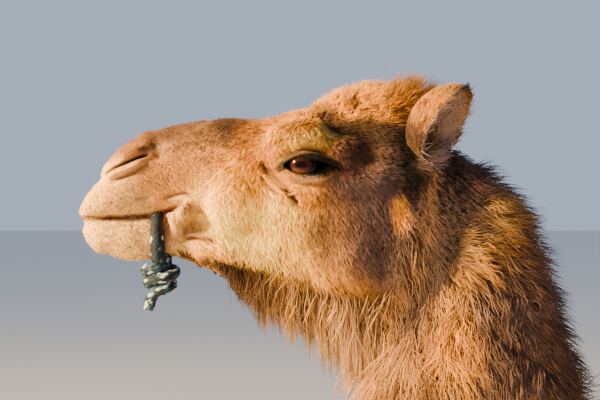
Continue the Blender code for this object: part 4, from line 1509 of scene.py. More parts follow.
class CoatMaker:
    """Grows all of the coat that comes from the skin."""

    FACE = Tuft(width=1.6, clump=4.5, gather=0.5, spread=0.3, tone=0.68, root_shade=0.45)
    MUZZLE = Tuft(width=1.1, clump=3.5, gather=0.4, spread=0.4, tone=0.5, root_shade=0.55)
    CROWN = Tuft(rings=1, width=1.4, clump=8.0, gather=0.5, spread=0.9, curl=3.0, turns=0.6, tone=0.32,
                 root_shade=0.68)
    NECK = Tuft(rings=2, width=1.8, clump=15.0, gather=0.62, spread=0.45, curl=6.0, turns=1.0, droop=0.35,
                tone=0.42, root_shade=0.55)
    SHORT = Tuft(rings=1, width=1.4, clump=6.0, gather=0.45, spread=0.35, curl=2.0, turns=0.6, tone=0.36,
                 root_shade=0.55)
    LOW = Tuft(rings=2, width=3.4, clump=24.0, gather=0.65, spread=0.45, curl=7.0, turns=0.9, droop=0.3,
               tone=0.26, root_shade=0.6)
    WOOL = Tuft(rings=2, width=4.6, clump=24.0, gather=0.65, spread=0.6, curl=9.0, turns=0.9, tone=0.26,
                root_shade=0.6)
    BODY = Tuft(rings=1, width=4.0, clump=18.0, gather=0.5, spread=0.4, curl=3.0, turns=0.6, tone=0.22,
                root_shade=0.7)
    LEG = Tuft(width=2.4, clump=9.0, gather=0.3, spread=0.25, tone=0.2, root_shade=0.78)
    TAIL = Tuft(rings=1, width=3.0, spread=0.15, tone=0.15, root_shade=0.7)

    DEEP = -5.5                                              # a groove as deep as this has little hair
    BARE_LIDS = (31.5, 14.4, EYE_OPENING.turn, 1.0, 0.12)    # the oval of bare lids
    PIECES = (
        CoatPiece("coat_muzzle", "muzzle", 270000, MUZZLE, 1),
        CoatPiece("coat_face_left", "face", 230000, FACE, 2, side=-1),
        CoatPiece("coat_face_right", "face", 200000, FACE, 3, side=1),
        CoatPiece("coat_crown", "crown", 330000, CROWN, 4, rise=1.45),
        CoatPiece("coat_neck_left", "neck", 93000, NECK, 5, rise=1.15, slot="coat_long", side=-1),
        CoatPiece("coat_neck_right", "neck", 66000, NECK, 6, rise=1.15, slot="coat_long", side=1),
        CoatPiece("coat_neck_short", "neck_short", 150000, SHORT, 13, rise=0.8, slot="coat_long"),
        CoatPiece("coat_neck_low", "neck_low", 20000, LOW, 7, slot="coat_long"),
        CoatPiece("coat_hump", "hump", 15000, WOOL, 8, slot="coat_long"),
        CoatPiece("coat_trunk_left", "trunk", 7500, BODY, 9, side=-1),
        CoatPiece("coat_trunk_right", "trunk", 7500, BODY, 10, side=1),
        CoatPiece("coat_legs", "leg", 26000, LEG, 11),
        CoatPiece("coat_tail", "tail", 14000, TAIL, 12),
    )

    def __init__(self, plan: Plan, coat: Coat, markings: Markings, fleece: Fleece) -> None:
        """Keeps what the coat is made by."""
        self.plan = plan
        self.coat = coat
        self.markings = markings
        self.fleece = fleece
        self.unwrap = Unwrap(plan)

    def share(self, where: str, zones: Zones, centres: Array) -> Array:
        """How thickly a kind of coat grows at each place, from 0 to 1.

        Args:
            where: the name of the kind.
            zones: the weights of the places.
            centres: the places in metres.

        Returns:
            The shares.
        """
        back, _, up = zones.local.T
        crown = zones.head * ramp(50, 72, up) * ramp(-52, -22, back)
        eye = oval(zones.local, (EYE_OPENING.centre[0] + 2.0, EYE_OPENING.centre[1]), *self.BARE_LIDS)
        slit, _, _ = path_reach(zones.local[:, (0, 2)], np.array(SLIT_LINE, float))
        lips, _, _ = path_reach(zones.local[:, (0, 2)], np.array(MOUTH_LINE, float))
        opening = (1 - eye) * ramp(2.5, 5.0, slit) * ramp(1.0, 2.5, lips)
        for crease in CREASES:
            if crease.painted_shade and crease.rise < self.DEEP:
                gap, ends = crease.reach(zones.local)
                opening = opening * (1 - 0.95 * ends * np.exp(-(gap / crease.bare) ** 2))
        kinds = {
            "muzzle": lambda: zones.head * ramp(-130, -160, back) * opening,
            "face": lambda: zones.head * (1 - ramp(-130, -160, back)) * (1 - crown) * opening,
            "crown": lambda: crown,
            "neck": lambda: zones.neck * ramp(560, 500, zones.along) * (1 - 0.9 * self.coat.short(zones)),
            "neck_short": lambda: self.coat.short(zones),
            "neck_low": lambda: zones.neck * ramp(500, 560, zones.along) * (1 - zones.leg),
            "hump": lambda: zones.hump,
            "trunk": lambda: zones.trunk * (1 - zones.hump) * (1 - zones.tail),
            "leg": lambda: zones.leg * (1 - zones.tail) * ramp(0.02, 0.035, centres[:, 2]),
            "tail": lambda: zones.tail,
        }
        return kinds[where]()

    def growth(self, roots: Array, normals: Array, rise: float, area: float) -> Growth:
        """Gathers what tufts need to know at their roots.

        Args:
            roots: places in metres.
            normals: the skin's normals there.
            rise: how much of the coat's depth they reach.
            area: the skin that they grow on, in square metres.

        Returns:
            The growth.
        """
        zones = self.plan.zones(roots)
        depth = self.coat.depth(zones)
        rgb = self.markings.paint(roots, zones)
        crown = zones.head * ramp(60, 90, zones.local[:, 2]) * ramp(-40, 20, zones.local[:, 0])
        return Growth(
            roots=roots, normals=normals, way=self.coat.lie(roots, normals, zones),
            length=self.coat.length(zones), rise=depth * rise + self.coat.extra(zones), root_rgb=rgb,
            stand=0.9 * np.maximum(zones.nape, crown), tip_rgb=self.markings.tips(rgb, roots, zones),
            places=self.unwrap.lay(roots, zones), area=area,
        )

    def grow_all(self, surface: Surface) -> None:
        """Grows every piece in the table."""
        for piece in self.PIECES:
            rng = np.random.default_rng(100 + piece.seed)
            share = self.share(piece.where, surface.zones, surface.centres)
            if piece.side:
                share = share * (surface.centres[:, 1] * piece.side > 0)
            roots, normals = surface.scatter(piece.density * share, rng)
            growth = self.growth(roots, normals, piece.rise, float(np.sum(surface.areas * share)))
            self.fleece.grow(piece.name, growth, piece.tuft, piece.seed, piece.slot)


# ---------------------------------------------------------------- ears, eyes, nails, rope

@dataclass(frozen=True)
class Keratin:
    """Keratin of the toe nails: dark, hard and dull, ridged across by its growth."""

    ridge_mm: float = 3.0

    def make(self) -> bpy.types.Material:
        """The material of the nails."""
        material, tree, shader = new_material("nail_keratin")
        where = add_node(tree, "ShaderNodeTexCoord")
        ridges = add_node(tree, "ShaderNodeTexWave", {
            "Vector": (where, "Object"), "Scale": 1.0 / (self.ridge_mm * 20 * MM), "Distortion": 2.0,
            "Detail": 2.0, "Detail Scale": 30.0}, bands_direction="X")
        dark, pale = (*linear("#2A211B"), 1.0), (*linear("#57483B"), 1.0)
        tone = add_node(tree, "ShaderNodeMix", {
            "Factor": (ridges, "Fac"), 6: dark, 7: pale}, data_type="RGBA")
        bump = add_node(tree, "ShaderNodeBump", {
            "Height": (ridges, "Fac"), "Strength": 0.4, "Distance": 0.6 * MM})
        tree.links.new(tone.outputs[2], shader.inputs["Base Color"])
        tree.links.new(bump.outputs[0], shader.inputs["Normal"])
        return finish(material, shader, Roughness=0.42)


@dataclass(frozen=True)
class WetEye:
    """A wet eyeball: dark brown iris under a clear smooth cornea with sharp highlights."""

    def make(self) -> bpy.types.Material:
        """The material of the eyes."""
        material, tree, shader = new_material("wet_eye")
        coat = add_node(tree, "ShaderNodeAttribute", attribute_name="Coat")
        tree.links.new(coat.outputs["Color"], shader.inputs["Base Color"])
        return finish(
            material, shader, Roughness=0.3, Specular_IOR_Level=0.0, Coat_Weight=1.0, Coat_Roughness=0.02,
            Coat_IOR=1.24)


@dataclass(frozen=True)
class BraidedRope:
    """Braided polypropylene rope: slightly waxy fibres, each strand a little rough."""

    fibre_mm: float = 0.9

    def make(self) -> bpy.types.Material:
        """The material of the rope."""
        material, tree, shader = new_material("braided_polypropylene_rope")
        coat = add_node(tree, "ShaderNodeAttribute", attribute_name="Coat")
        where = add_node(tree, "ShaderNodeTexCoord")
        fibre = add_node(tree, "ShaderNodeTexNoise", {
            "Vector": (where, "Object"), "Scale": 1.0 / (self.fibre_mm * MM), "Detail": 2.0})
        shade = add_node(tree, "ShaderNodeMapRange", {0: (fibre, 0), 1: 0.3, 2: 0.7, 3: 0.7, 4: 1.25})
        tone = add_node(tree, "ShaderNodeVectorMath", {
            0: (coat, "Color"), "Scale": (shade, 0)}, operation="SCALE")
        bump = add_node(tree, "ShaderNodeBump", {"Height": (fibre, 0), "Strength": 0.5, "Distance": 0.5 * MM})
        tree.links.new(tone.outputs[0], shader.inputs["Base Color"])
        tree.links.new(bump.outputs[0], shader.inputs["Normal"])
        return finish(material, shader, Roughness=0.75, Specular_IOR_Level=0.25)


class Ear:
    """One cupped ear, its mouth turned outwards and back, with its own hair. Lengths are in millimetres."""

    HAIR = Tuft(width=1.5, clump=4.0, gather=0.4, spread=0.4, tone=0.6, root_shade=0.45)
    LONG_HAIR = Tuft(rings=2, width=0.9, spread=0.3)
    BASE = (177.0, 75.0, 8.0)
    TIP = (212.0, 95.0, 105.0)
    MOUTH = (0.83, 0.54, -0.10)
    WIDTH, DEPTH, WALL = 40.0, 47.0, 5.0
    WIDER = 1.4   # how much wider the front half is
    SUNK = 6.0    # how far the root goes into the head

    def __init__(self, plan: Plan, side: int) -> None:
        """Sets the ear's own directions."""
        self.plan = plan
        self.side = side
        head = plan.head
        self.base = np.array(head.place(self.BASE[0], side * self.BASE[1], self.BASE[2]))
        self.tip = np.array(head.place(self.TIP[0], side * self.TIP[1], self.TIP[2]))
        self.up = unit(self.tip - self.base)
        mouth = np.array((self.MOUTH[0], side * self.MOUTH[1], self.MOUTH[2]))
        self.mouth = unit(mouth - self.up * mouth.dot(self.up))
        self.across = np.cross(self.up, self.mouth)
        self.length = float(np.linalg.norm(self.tip - self.base))

    def build(self) -> bpy.types.Mesh:
        """Makes the ear's skin from a ball drawn into a cup."""
        work = bmesh.new()
        bmesh.ops.create_uvsphere(work, u_segments=56, v_segments=36, radius=1.0)
        for vertex in work.verts:
            front, sideways, height = vertex.co
            rise = self.base + self.up * self.length * (0.5 + 0.5 * height)
            rise = rise - self.up * self.SUNK * MM * max(-height - 0.3, 0.0) / 0.7
            spread = self.WIDTH * MM * sideways * (1.0 - 0.22 * height)
            if sideways * self.side < 0:
                spread *= self.WIDER
            if front > 0:
                out = (self.WALL / 2 - (self.DEPTH - self.WALL) * front) * MM
                out += 1.6 * MM * math.cos(9.0 * sideways) * front  # ribs down the cup
            else:
                out = (-self.WALL / 2 + self.DEPTH * front) * MM
            out += 8 * MM * height
            vertex.co = rise + self.across * spread + self.mouth * out
        bmesh.ops.recalc_face_normals(work, faces=work.faces)
        return ordered_mesh("ear", work)

    def measures(self, points: Array, normals: Array) -> tuple[Array, Array, Array]:
        """Height from 0 to 1, side from -1 to 1, and how much the skin faces the cup's mouth."""
        away = points - self.base
        height = away @ self.up / self.length
        sideways = away @ self.across / (self.WIDTH * MM)
        sideways = np.where(sideways * self.side < 0, sideways / self.WIDER, sideways)
        return height, sideways, normals @ self.mouth

    def paint(self, points: Array, normals: Array) -> Array:
        """The ear's colours: golden behind, dusky in the cup, a dark rim at the tip, and painted shade low down
        and in the canal.
        """
        height, sideways, inner = self.measures(points, normals)
        rgb = np.tile(linear("#9C6018"), (len(points), 1))
        mottled = ramp(0.45, 0.62, grain(points, 0.008, 22))
        cup = ramp(0.15, 0.45, inner)
        for weight, code in (
            (mottled * ramp(0.2, 0.7, np.abs(sideways)) * 0.8, "#3E2812"),
            (ramp(0.75, 0.98, height) * 0.6, "#907048"),
            # painted shade on the lower part of the ear
            (ramp(0.46, 0.24, height) * 0.95, "#2E1E16"),
            (cup, "#8E7470"),
            # painted shade in the canal at the bottom of the cup
            (cup * ramp(0.40, 0.12, height) * ramp(0.8, 0.3, np.abs(sideways)), "#1A0E0A"),
            (cup * ramp(0.5, 0.9, np.abs(sideways)) * 0.6, "#B89C90"),
            (ramp(0.86, 1.0, height) * ramp(-0.5, 0.2, inner), "#33261F"),
        ):
            rgb = blend(rgb, linear(code), weight[:, None])
        return np.clip(rgb * (0.70 + 0.55 * grain(points, 0.006, 21))[:, None], 0, 1)

    def growth(self, mesh: bpy.types.Mesh, density: float, seed: int, long: bool) -> Growth:
        """The roots of the short hair, or of the long hair in the cup.

        Args:
            mesh: the ear's skin.
            density: roots for each square metre.
            seed: the start of its chances.
            long: whether it is the long hair.

        Returns:
            The growth.
        """
        surface = Surface(mesh, self.plan)
        normals = unit(surface.normals.mean(axis=1))
        height, sideways, inner = self.measures(surface.centres, normals)
        share = ramp(0.0, 0.06, height)
        if long:
            share = ramp(0.0, 0.4, inner) * ramp(0.95, 0.75, height) * ramp(0.30, 0.75, np.abs(sideways))
        roots, facing = surface.scatter(density * share, np.random.default_rng(seed))
        height, sideways, inner = self.measures(roots, facing)
        way = np.tile(self.up, (len(roots), 1))
        if long:
            way = way * 0.8 - self.across * np.sign(sideways)[:, None] * 0.9 + self.mouth * 0.5
        way = unit(way - facing * dots(way, facing)[:, None])
        rgb = self.paint(roots, facing)
        if long:
            rgb = blend(rgb, linear("#B89A88"), 0.5)
        corner = np.array((0.75 if self.side < 0 else 0.875, 0.2))
        around = np.arctan2(sideways, inner + 0.2) / (2 * math.pi) + 0.5
        places = corner + np.stack((around * 0.12, np.clip(height, 0, 1) * 0.29), axis=1)
        length, rise = (17.0, 9.0) if long else (11.0, 3.6)
        return Growth(
            roots=roots, normals=facing, way=way, length=np.full(len(roots), length),
            rise=np.full(len(roots), rise), root_rgb=rgb, tip_rgb=np.clip(rgb * 1.15, 0, 1),
            places=places, area=float(np.sum(surface.areas * share)),
        )


@dataclass
class Eye:
    """One eyeball with its iris and level pupil, and the lashes over it."""

    plan: Plan
    name: str
    side: int
    radius: float = 22.6
    iris: float = 14.6
    pupil: tuple[float, float] = (8.5, 5.6)
    LASH: ClassVar[Tuft] = Tuft(rings=3, width=1.0, spread=0.12, taper=0.8, vary=0.1, tone=0.2)

    def build(self, material: bpy.types.Material) -> None:
        """Makes the eyeball."""
        node = f"eye_{self.name}"
        low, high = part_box(node)
        centre = (low + high) / 2
        work = bmesh.new()
        bmesh.ops.create_uvsphere(work, u_segments=96, v_segments=64, radius=self.radius * MM)
        turn = Matrix.Rotation(math.pi / 2 * -self.side, 4, "X")
        look = Matrix.Rotation(math.radians(7) * self.side, 4, "Z")
        bmesh.ops.transform(work, matrix=Matrix.Translation(centre) @ look @ turn, verts=work.verts)
        bmesh.ops.recalc_face_normals(work, faces=work.faces)
        mesh = ordered_mesh(f"eyeball_{self.name}", work)
        axis = np.array(look @ Vector((0, self.side, 0)))
        away = (read_points(mesh) - np.array(centre)) / MM
        facing = away @ axis
        off = away - facing[:, None] * axis
        reach = np.linalg.norm(off, axis=1)
        reach = np.where(facing > 0, reach, 99.0)
        level = np.hypot(off[:, 0] / self.pupil[0], off[:, 2] / self.pupil[1])
        bearing = np.arctan2(off[:, 2], off[:, 0])
        streak = 0.5 + 0.5 * np.sin(bearing * 47 + 3 * np.sin(bearing * 9))
        rgb = np.tile(linear("#060403"), (len(away), 1))
        iris = blend(linear("#22100A"), linear("#4A1E12"), (streak * ramp(self.iris, 8.0, reach))[:, None])
        rgb = blend(rgb, iris, ramp(self.iris + 0.6, self.iris - 0.8, reach)[:, None])
        rgb = blend(rgb, linear("#080302"), ramp(1.5, 0.7, level)[:, None])
        rgb = blend(rgb, linear("#0E0808"), (ramp(self.iris + 2.2, self.iris + 5.0, reach) * 0.5)[:, None])
        set_colours(mesh, rgb)
        mesh.materials.append(material)
        show(f"eyeball_{self.name}", mesh, "eye", node)

    def lashes(self, skin: BVHTree) -> Growth:
        """The roots of the lashes along the upper lid, and fewer along the lower one."""
        rng = np.random.default_rng(31 + self.side)
        count, parts = 340, 360
        outline = EYE_OPENING.outline(np.linspace(0, 1, parts))
        upper = rng.random(count) < 0.74
        share = rng.uniform(0.0, 1.0, count) ** np.where(upper, 0.6, 1.0)
        share = np.where(upper, 0.12 + 0.37 * share, 0.54 + 0.44 * share)
        at = outline[(share * parts).astype(int) % parts]
        grow = rng.uniform(1.015, 1.10, count)[:, None]
        centre = np.array(EYE_OPENING.centre)
        at = centre + (at - centre) * grow
        roots = []
        for back, up in at:
            place = self.plan.head.place(back, self.side * 200.0, up)
            hit = skin.ray_cast(place, Vector((0, -self.side, 0)))[0]
            roots.append(hit if hit is not None else self.plan.head.place(back, self.side * 90.0, up))
        roots = np.array(roots)
        out = np.tile(np.array((0.0, self.side, 0.0)), (count, 1))
        away = (at - centre) / np.array((28.0, 15.0))
        droop = np.where(upper, -0.45 + 0.40 * rng.random(count), -0.35)
        way = np.stack((away[:, 0] * 0.5 + 0.8, 0 * share, droop), axis=1)
        rgb = np.tile(linear("#0C0806"), (count, 1))
        length = np.where(upper, 19.0, 6.0) * rng.uniform(0.5, 1.1, count)
        return Growth(
            roots=roots, normals=out, way=unit(way), length=length, rise=length * 0.35, root_rgb=rgb,
            tip_rgb=rgb, places=np.tile((0.2, 0.7), (count, 1)), area=0.001,
        )


class Beard:
    """The fringe that hangs from the throat and the back of the jaw."""

    TIPS = np.array((
        (-170, -140), (-140, -150), (-122, -166), (-97, -208), (-62, -230), (-11, -250), (10, -268),
        (38, -284), (58, -296), (106, -316), (150, -322),
    ), float)
    TUFT = Tuft(rings=3, width=1.6, clump=13.0, gather=0.5, spread=0.36, curl=8.0, turns=1.2, tone=0.5,
                vary=0.4, root_shade=0.5, taper=0.6)
    DENSITY = 210000

    def growth(self, maker: CoatMaker, surface: Surface) -> Growth:
        """The roots along the underside of the jaw."""
        back, side, up = surface.zones.local.T
        facing = unit(surface.normals.mean(axis=1))
        share = (ramp(-182, -160, back) * ramp(150, 100, back) * ramp(0.35, 0.75, -facing[:, 2])
                 * ramp(-95, -112, up) * ramp(-235, -205, up) * ramp(64, 48, np.abs(side)))
        roots, normals = surface.scatter(self.DENSITY * share, np.random.default_rng(41))
        growth = maker.growth(roots, normals, 0.05, float(np.sum(surface.areas * share)))
        local = maker.plan.head.measure(roots)
        reach = local[:, 2] - np.interp(local[:, 0], self.TIPS[:, 0], self.TIPS[:, 1])
        inward = 1.0 - 0.25 * np.abs(local[:, 1]) / 60.0
        growth.length = np.clip(reach * inward, 12.0, 170.0)
        back = 0.5 * ramp(-60, -140, local[:, 0]) + 0.02
        growth.way = unit(np.stack((back, 0.10 * local[:, 1] / 60.0, -np.ones(len(roots))), axis=1))
        growth.rise = np.full(len(roots), 2.0)
        dark, gold, pale = linear("#40291A"), linear("#BC8C56"), linear("#D6A678")
        share = ramp(0.30, 0.65, grain(roots, 0.016, 51))
        front = ramp(10, -110, local[:, 0])
        growth.root_rgb = blend(dark, gold, (0.5 * share * (1 - front))[:, None])
        growth.tip_rgb = blend(
            dark * 1.2, blend(gold, pale, ramp(0, 70, local[:, 0])[:, None]),
            ((0.25 + 0.75 * share) * (1 - 0.85 * front))[:, None])
        return growth


class Nape:
    """The long dark-tipped wisps that stand out from the back of the neck."""

    TUFT = Tuft(rings=3, width=1.9, clump=11.0, gather=0.7, spread=0.25, curl=3.5, turns=0.8, tone=0.3,
                vary=0.35, root_shade=0.7, taper=0.6)
    DENSITY = 30000
    LENGTH = 72.0

    def growth(self, maker: CoatMaker, surface: Surface) -> Growth:
        """The roots down the back of the neck."""
        zones = surface.zones
        share = ramp(0.4, 0.8, zones.nape) * ramp(640, 520, zones.along)
        share = share * ramp(80, 40, np.abs(zones.local[:, 1]))
        area = float(np.sum(surface.areas * share))
        roots, normals = surface.scatter(self.DENSITY * share, np.random.default_rng(46))
        growth = maker.growth(roots, normals, 1.0, area)
        growth.length = self.LENGTH * blend(0.9, 1.0, ramp(0, 160, maker.plan.zones(roots).along))
        growth.rise = growth.length * 0.72
        growth.stand = np.full(len(roots), 0.8)
        growth.tip_rgb = np.tile(linear("#38241B"), (len(roots), 1))
        return growth


class TailTuft:
    """The brush of dark hair at the end of the tail."""

    TUFT = Tuft(rings=3, width=2.4, clump=16.0, gather=0.6, spread=0.12, curl=3.0, turns=0.7, tone=0.3,
                root_shade=0.6, taper=0.6)
    HAIRS = 1500.0

    def growth(self, maker: CoatMaker, surface: Surface) -> Growth:
        """The roots on the last length of the tail."""
        low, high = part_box("tail_tuft")
        zones = surface.zones
        share = zones.tail * ramp(high.z + 0.16, high.z + 0.04, surface.centres[:, 2])
        share = share * (surface.centres[:, 2] > high.z - 0.03)
        area = float(np.sum(surface.areas * share))
        roots, normals = surface.scatter(self.HAIRS / area * share, np.random.default_rng(43))
        growth = maker.growth(roots, normals, 1.0, area)
        bottom = low.z + 0.012
        spread = np.random.default_rng(44).uniform(0.45, 1.0, len(roots))
        growth.length = np.clip((roots[:, 2] - bottom) / MM * spread, 60.0, 230.0)
        growth.rise = np.full(len(roots), 15.0)
        growth.way = unit(np.tile((0.02, 0.0, -1.0), (len(roots), 1)) + normals * 0.05)
        growth.root_rgb = np.tile(linear("#4B3325"), (len(roots), 1))
        growth.tip_rgb = np.tile(linear("#3A271C"), (len(roots), 1))
        return growth


class Nails:
    """Two blunt nails at the front of each foot."""

    REGAIN = (1.08, 1.08, 1.10)  # gives back the size that smoothing takes

    def build(self, material: bpy.types.Material) -> None:
        """Makes a smooth ridged nail in place of each solid one."""
        for node in sorted(name for name in bpy.data.objects.keys() if name.startswith("nail_")):
            work = bmesh.new()
            work.from_mesh(bpy.data.objects[node].data)
            bmesh.ops.remove_doubles(work, verts=work.verts, dist=1e-5)
            bmesh.ops.subdivide_edges(work, edges=work.edges, cuts=2, use_grid_fill=True)
            bmesh.ops.triangulate(work, faces=work.faces)
            soften(work, work.verts, 4)
            low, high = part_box(node)
            about = Matrix.Translation(-(low + high) / 2)
            bmesh.ops.scale(work, vec=self.REGAIN, verts=work.verts, space=about)
            mesh = mesh_of(f"{node}_keratin", work)
            mesh.materials.append(material)
            show(f"{node}_keratin", mesh, "nail", node)


class Strand(Enum):
    """The yarns of the rope."""

    NAVY = "#060C18"
    DEEP = "#0C1E2E"
    TEAL = "#264A5C"
    PALE = "#94A6AC"


class Rope:
    """The blue rope: a noose through the mouth and round the lower jaw, and its knot. Lengths in millimetres."""

    RADIUS = 8.6
    SIDES = 40
    CARRIERS = 20
    PITCH = 7.0
    STEP = 1.2
    NOOSE = (-203, -104)                    # the middle of the noose, back and up
    FLECKS = (0.34, 0.27, 0.22, 0.17)       # how often each yarn of Strand shows
    NAVY_AND_SHADED_FLECKS = (0.62, 0.26, 0.08, 0.04)  # on the noose: more navy yarn, with painted shade

    def __init__(self, plan: Plan, material: bpy.types.Material) -> None:
        """Keeps the head's measures and the finish."""
        self.plan = plan
        self.material = material

    def curve(self, corners: list[tuple[float, float, float]], closed: bool, step: float) -> Array:
        """A smooth line through corners, in places of one spacing.

        Args:
            corners: back, side and up, in millimetres.
            closed: whether the line joins up.
            step: the spacing in millimetres.

        Returns:
            Places in metres.
        """
        points = np.array([self.plan.head.place(*corner) for corner in corners])
        count = len(points)
        dense = []
        for number in range(count if closed else count - 1):
            picks = [number - 1, number, number + 1, number + 2]
            if closed:
                picks = [pick % count for pick in picks]
            else:
                picks = [min(max(pick, 0), count - 1) for pick in picks]
            dense += [bend(points[picks], share) for share in np.linspace(0, 1, 24, endpoint=False)]
        dense.append(points[0] if closed else points[-1])
        dense = np.array(dense)
        walked = np.concatenate([[0], np.cumsum(np.linalg.norm(np.diff(dense, axis=0), axis=1))])
        number = max(8, int(walked[-1] / (step * MM)))
        at = np.linspace(0, walked[-1], number, endpoint=not closed)
        return np.stack([np.interp(at, walked, dense[:, axis]) for axis in range(3)], axis=1)

    def braid(self, name: str, line: Array, closed: bool, seed: int, flecks: tuple[float, ...],
              slim: Array | None = None) -> bpy.types.Mesh:
        """A braided tube along a line.

        Args:
            name: the mesh's name.
            line: the middle line.
            closed: whether it joins up.
            seed: another number gives other flecks.
            flecks: how often each yarn of Strand shows.
            slim: a share of the full thickness at each place, all 1 when left out.

        Returns:
            The mesh, coloured yarn by yarn.
        """
        count = len(line)
        ahead = np.roll(line, -1, axis=0) - np.roll(line, 1, axis=0) if closed else np.gradient(line, axis=0)
        ahead = unit(ahead)
        side = np.cross(ahead[0], np.array((0.31, 0.2, 0.93)))
        frames = []
        for number in range(count):
            side = unit(side - ahead[number] * side.dot(ahead[number]))
            frames.append(side)
        frames = np.array(frames)
        if closed:
            start = np.cross(ahead[0], frames[0])
            slip = math.atan2(frames[-1] @ start, frames[-1] @ frames[0])
            for number in range(count):
                angle = -slip * number / count
                beside = np.cross(ahead[number], frames[number])
                frames[number] = frames[number] * math.cos(angle) + beside * math.sin(angle)
        step = float(np.linalg.norm(line[1] - line[0])) / MM
        total = step * count
        pitches = max(1, round(total / self.PITCH))
        work = bmesh.new()
        rows, rgb = [], []
        rng = np.random.default_rng(seed)
        yarns = rng.choice([strand.value for strand in Strand], size=(64, 64), p=flecks)
        for number in range(count):
            over = np.cross(ahead[number], frames[number])
            row = []
            run = number / count * pitches
            for corner in range(self.SIDES):
                angle = 2 * math.pi * corner / self.SIDES
                turn = corner / self.SIDES * self.CARRIERS / 2
                first, second = turn + run, turn - run
                on_top = (math.floor(first) + math.floor(second)) % 2
                lead, other = (first, second) if on_top else (second, first)
                crown = math.sin(math.pi * (lead % 1.0)) ** 0.6
                dip = abs(math.sin(math.pi * (other % 1.0)))
                radius = self.RADIUS * (0.88 + 0.12 * crown * (0.55 + 0.45 * dip)) * MM
                radius *= 1.0 if slim is None else slim[number]
                out = frames[number] * math.cos(angle) + over * math.sin(angle)
                row.append(work.verts.new(line[number] + out * radius))
                code = yarns[math.floor(lead) % 64, math.floor(other) % 64]
                # each yarn darker where it dips under the crossing ones: painted shade
                rgb.append(linear(str(code)) * (0.45 + 0.65 * crown))
            rows.append(row)
        last = count if closed else count - 1
        for number in range(last):
            here, there = rows[number], rows[(number + 1) % count]
            for corner in range(self.SIDES):
                following = (corner + 1) % self.SIDES
                work.faces.new((here[corner], here[following], there[following], there[corner]))
        if not closed:
            work.faces.new(rows[0][::-1])
            work.faces.new(rows[-1])
        bmesh.ops.recalc_face_normals(work, faces=work.faces)
        mesh = mesh_of(name, work)
        set_colours(mesh, np.clip(np.array(rgb), 0, 1))
        mesh.materials.append(self.material)
        return mesh

    def loop(self) -> None:
        """The noose round the jaw."""
        back, middle = self.NOOSE
        corners = []
        for number in range(24):
            angle = 2 * math.pi * number / 24
            flat, steep = math.cos(angle), math.sin(angle)
            side = math.copysign(abs(flat) ** 0.7, flat) * 37
            rise = math.copysign(abs(steep) ** 0.7, steep) * (33 if steep > 0 else 37)
            corners.append((back - 0.06 * rise, side, middle + rise))
        line = self.curve(corners, True, self.STEP)
        slim = blend(1.26, 1.02, ramp(-108, -78, self.plan.head.measure(line)[:, 2]))
        mesh = self.braid("rope_noose", line, True, 61, self.NAVY_AND_SHADED_FLECKS, slim)
        show("rope_noose", mesh, "rope", "rope_jaw_loop")

    def knot(self) -> None:
        """The knot under the jaw with a short end."""
        corners = [
            (-196, -12, -128), (-193, -22, -138), (-203, -34, -141), (-217, -29, -144), (-221, -14, -147),
            (-209, -6, -148), (-191, -8, -146), (-181, -18, -147), (-184, -30, -152), (-198, -35, -156),
            (-214, -28, -160), (-218, -16, -164), (-206, -8, -166), (-191, -10, -164), (-185, -20, -166),
            (-194, -30, -171), (-207, -27, -176), (-214, -21, -187), (-218, -20, -201),
        ]
        line = self.curve(corners, False, self.STEP)
        mesh = self.braid("rope_knotted", line, False, 62, self.FLECKS)
        show("rope_knotted", mesh, "rope", "rope_knot")


# ---------------------------------------------------------------- studio

@dataclass
class Studio:
    """Pale floor, soft lights and the camera."""

    eye: Vector
    floor_size: float = 60.0
    key_place: tuple[float, float, float] = (-5.7, -2.4, 2.2)
    key_size: float = 1.0
    key_power: float = 4600.0
    sky_power: float = 0.75

    def build(self) -> None:
        """Makes the floor, the lights, the world and the camera."""
        work = bmesh.new()
        bmesh.ops.create_grid(work, x_segments=1, y_segments=1, size=self.floor_size)
        floor = add_object("floor", mesh_of("floor", work, False))
        material, _, shader = new_material("pale_matt_floor")
        shader.inputs["Base Color"].default_value = (*linear("#D9D6D0"), 1.0)
        shader.inputs["Roughness"].default_value = 0.9
        floor.data.materials.append(material)
        world = bpy.data.worlds.new("studio")
        world.use_nodes = True
        back = world.node_tree.nodes["Background"]
        back.inputs[0].default_value = (*linear("#CCDCF8"), 1.0)
        back.inputs[1].default_value = self.sky_power
        bpy.context.scene.world = world
        self.lamp()
        self.camera()

    def lamp(self) -> None:
        """A warm, square, soft light aimed at the head."""
        aim = Vector((self.eye.x, 0.0, self.eye.z - 0.1))
        place = aim + Vector(self.key_place)
        data = bpy.data.lights.new("key", "AREA")
        data.size = self.key_size
        data.energy = self.key_power
        data.color = linear("#FFD790")
        lamp = bpy.data.objects.new("key", data)
        lamp.location = place
        lamp.rotation_euler = (aim - place).to_track_quat("-Z", "Y").to_euler()
        bpy.context.scene.collection.objects.link(lamp)

    def camera(self) -> None:
        """The camera, level with the muzzle and square to the animal's side."""
        data = bpy.data.cameras.new("camera")
        data.lens = 60.0
        data.sensor_width = 36.0
        camera = bpy.data.objects.new("camera", data)
        camera.location = (self.eye.x - 4 * MM, -1.43, self.eye.z - 47 * MM)
        camera.rotation_euler = (math.pi / 2, 0.0, 0.0)
        bpy.context.scene.collection.objects.link(camera)
        bpy.context.scene.camera = camera


def set_colours(mesh: bpy.types.Mesh, rgb: Array) -> None:
    """Keeps one linear colour for each vertex in the attribute Coat."""
    layer = mesh.color_attributes.new("Coat", "FLOAT_COLOR", "POINT")
    layer.data.foreach_set("color", np.column_stack((rgb, np.ones(len(rgb)))).astype(np.float32).ravel())


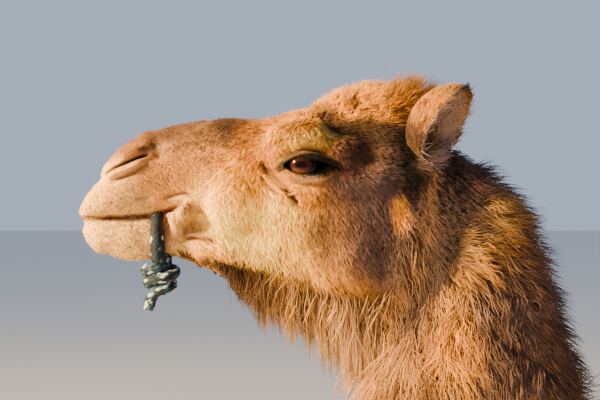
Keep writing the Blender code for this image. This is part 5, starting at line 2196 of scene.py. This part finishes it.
def joined_skin(parts: list[tuple[bpy.types.Mesh, Array]]) -> bpy.types.Mesh:
    """Joins the body's skin and the ears in one coloured mesh.

    Args:
        parts: each mesh with its vertices' colours.

    Returns:
        The mesh.
    """
    work = bmesh.new()
    for mesh, _ in parts:
        work.from_mesh(mesh)
    mesh = mesh_of("skin", work)
    set_colours(mesh, np.concatenate([rgb for _, rgb in parts]))
    mesh.materials.append(Hide().make())
    return mesh


def main() -> None:
    """Builds the camel's looks piece by piece."""
    logging.basicConfig(level=logging.INFO, format="%(message)s")
    for item in list(bpy.data.objects):
        bpy.data.objects.remove(item)
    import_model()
    low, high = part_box("eye_left")
    eye = (low + high) / 2
    plan = Plan(HeadPlan(eye))
    coat = Coat(plan)
    markings = Markings(plan)
    skin_mesh = Skin(plan, coat).build()
    surface = Surface(skin_mesh, plan)
    tree = tree_of(skin_mesh)
    fleece = Fleece(Hair().make())
    maker = CoatMaker(plan, coat, markings, fleece)
    maker.grow_all(surface)
    fleece.grow("coat_beard", Beard().growth(maker, surface), Beard.TUFT, 21, "coat_long", ("beard",))
    fleece.grow("coat_nape", Nape().growth(maker, surface), Nape.TUFT, 20, "coat_long")
    brush = TailTuft().growth(maker, surface)
    fleece.grow("coat_tail_tuft", brush, TailTuft.TUFT, 22, "coat_long", ("tail_tuft",))
    points = read_points(skin_mesh)
    parts = [(skin_mesh, markings.paint(points, plan.zones(points)))]
    wet = WetEye().make()
    for name, side in SIDES:
        ear = Ear(plan, side)
        mesh = ear.build()
        parts.append((mesh, ear.paint(read_points(mesh), read_normals(mesh))))
        flat, long = ear.growth(mesh, 190000, 23 + side, False), ear.growth(mesh, 60000, 26 + side, True)
        fleece.grow(f"coat_ear_{name}", flat, Ear.HAIR, 24 + side)
        fleece.grow(f"coat_ear_{name}_long", long, Ear.LONG_HAIR, 27 + side)
        eye_piece = Eye(plan, name, side)
        eye_piece.build(wet)
        fleece.grow(f"lashes_{name}", eye_piece.lashes(tree), Eye.LASH, 29 + side)
    show("skin", joined_skin(parts), "coat_short", *FLESH, "ear_left", "ear_right")
    Nails().build(Keratin().make())
    rope = Rope(plan, BraidedRope().make())
    rope.loop()
    rope.knot()
    Studio(eye).build()


if __name__ == "__main__":
    main()
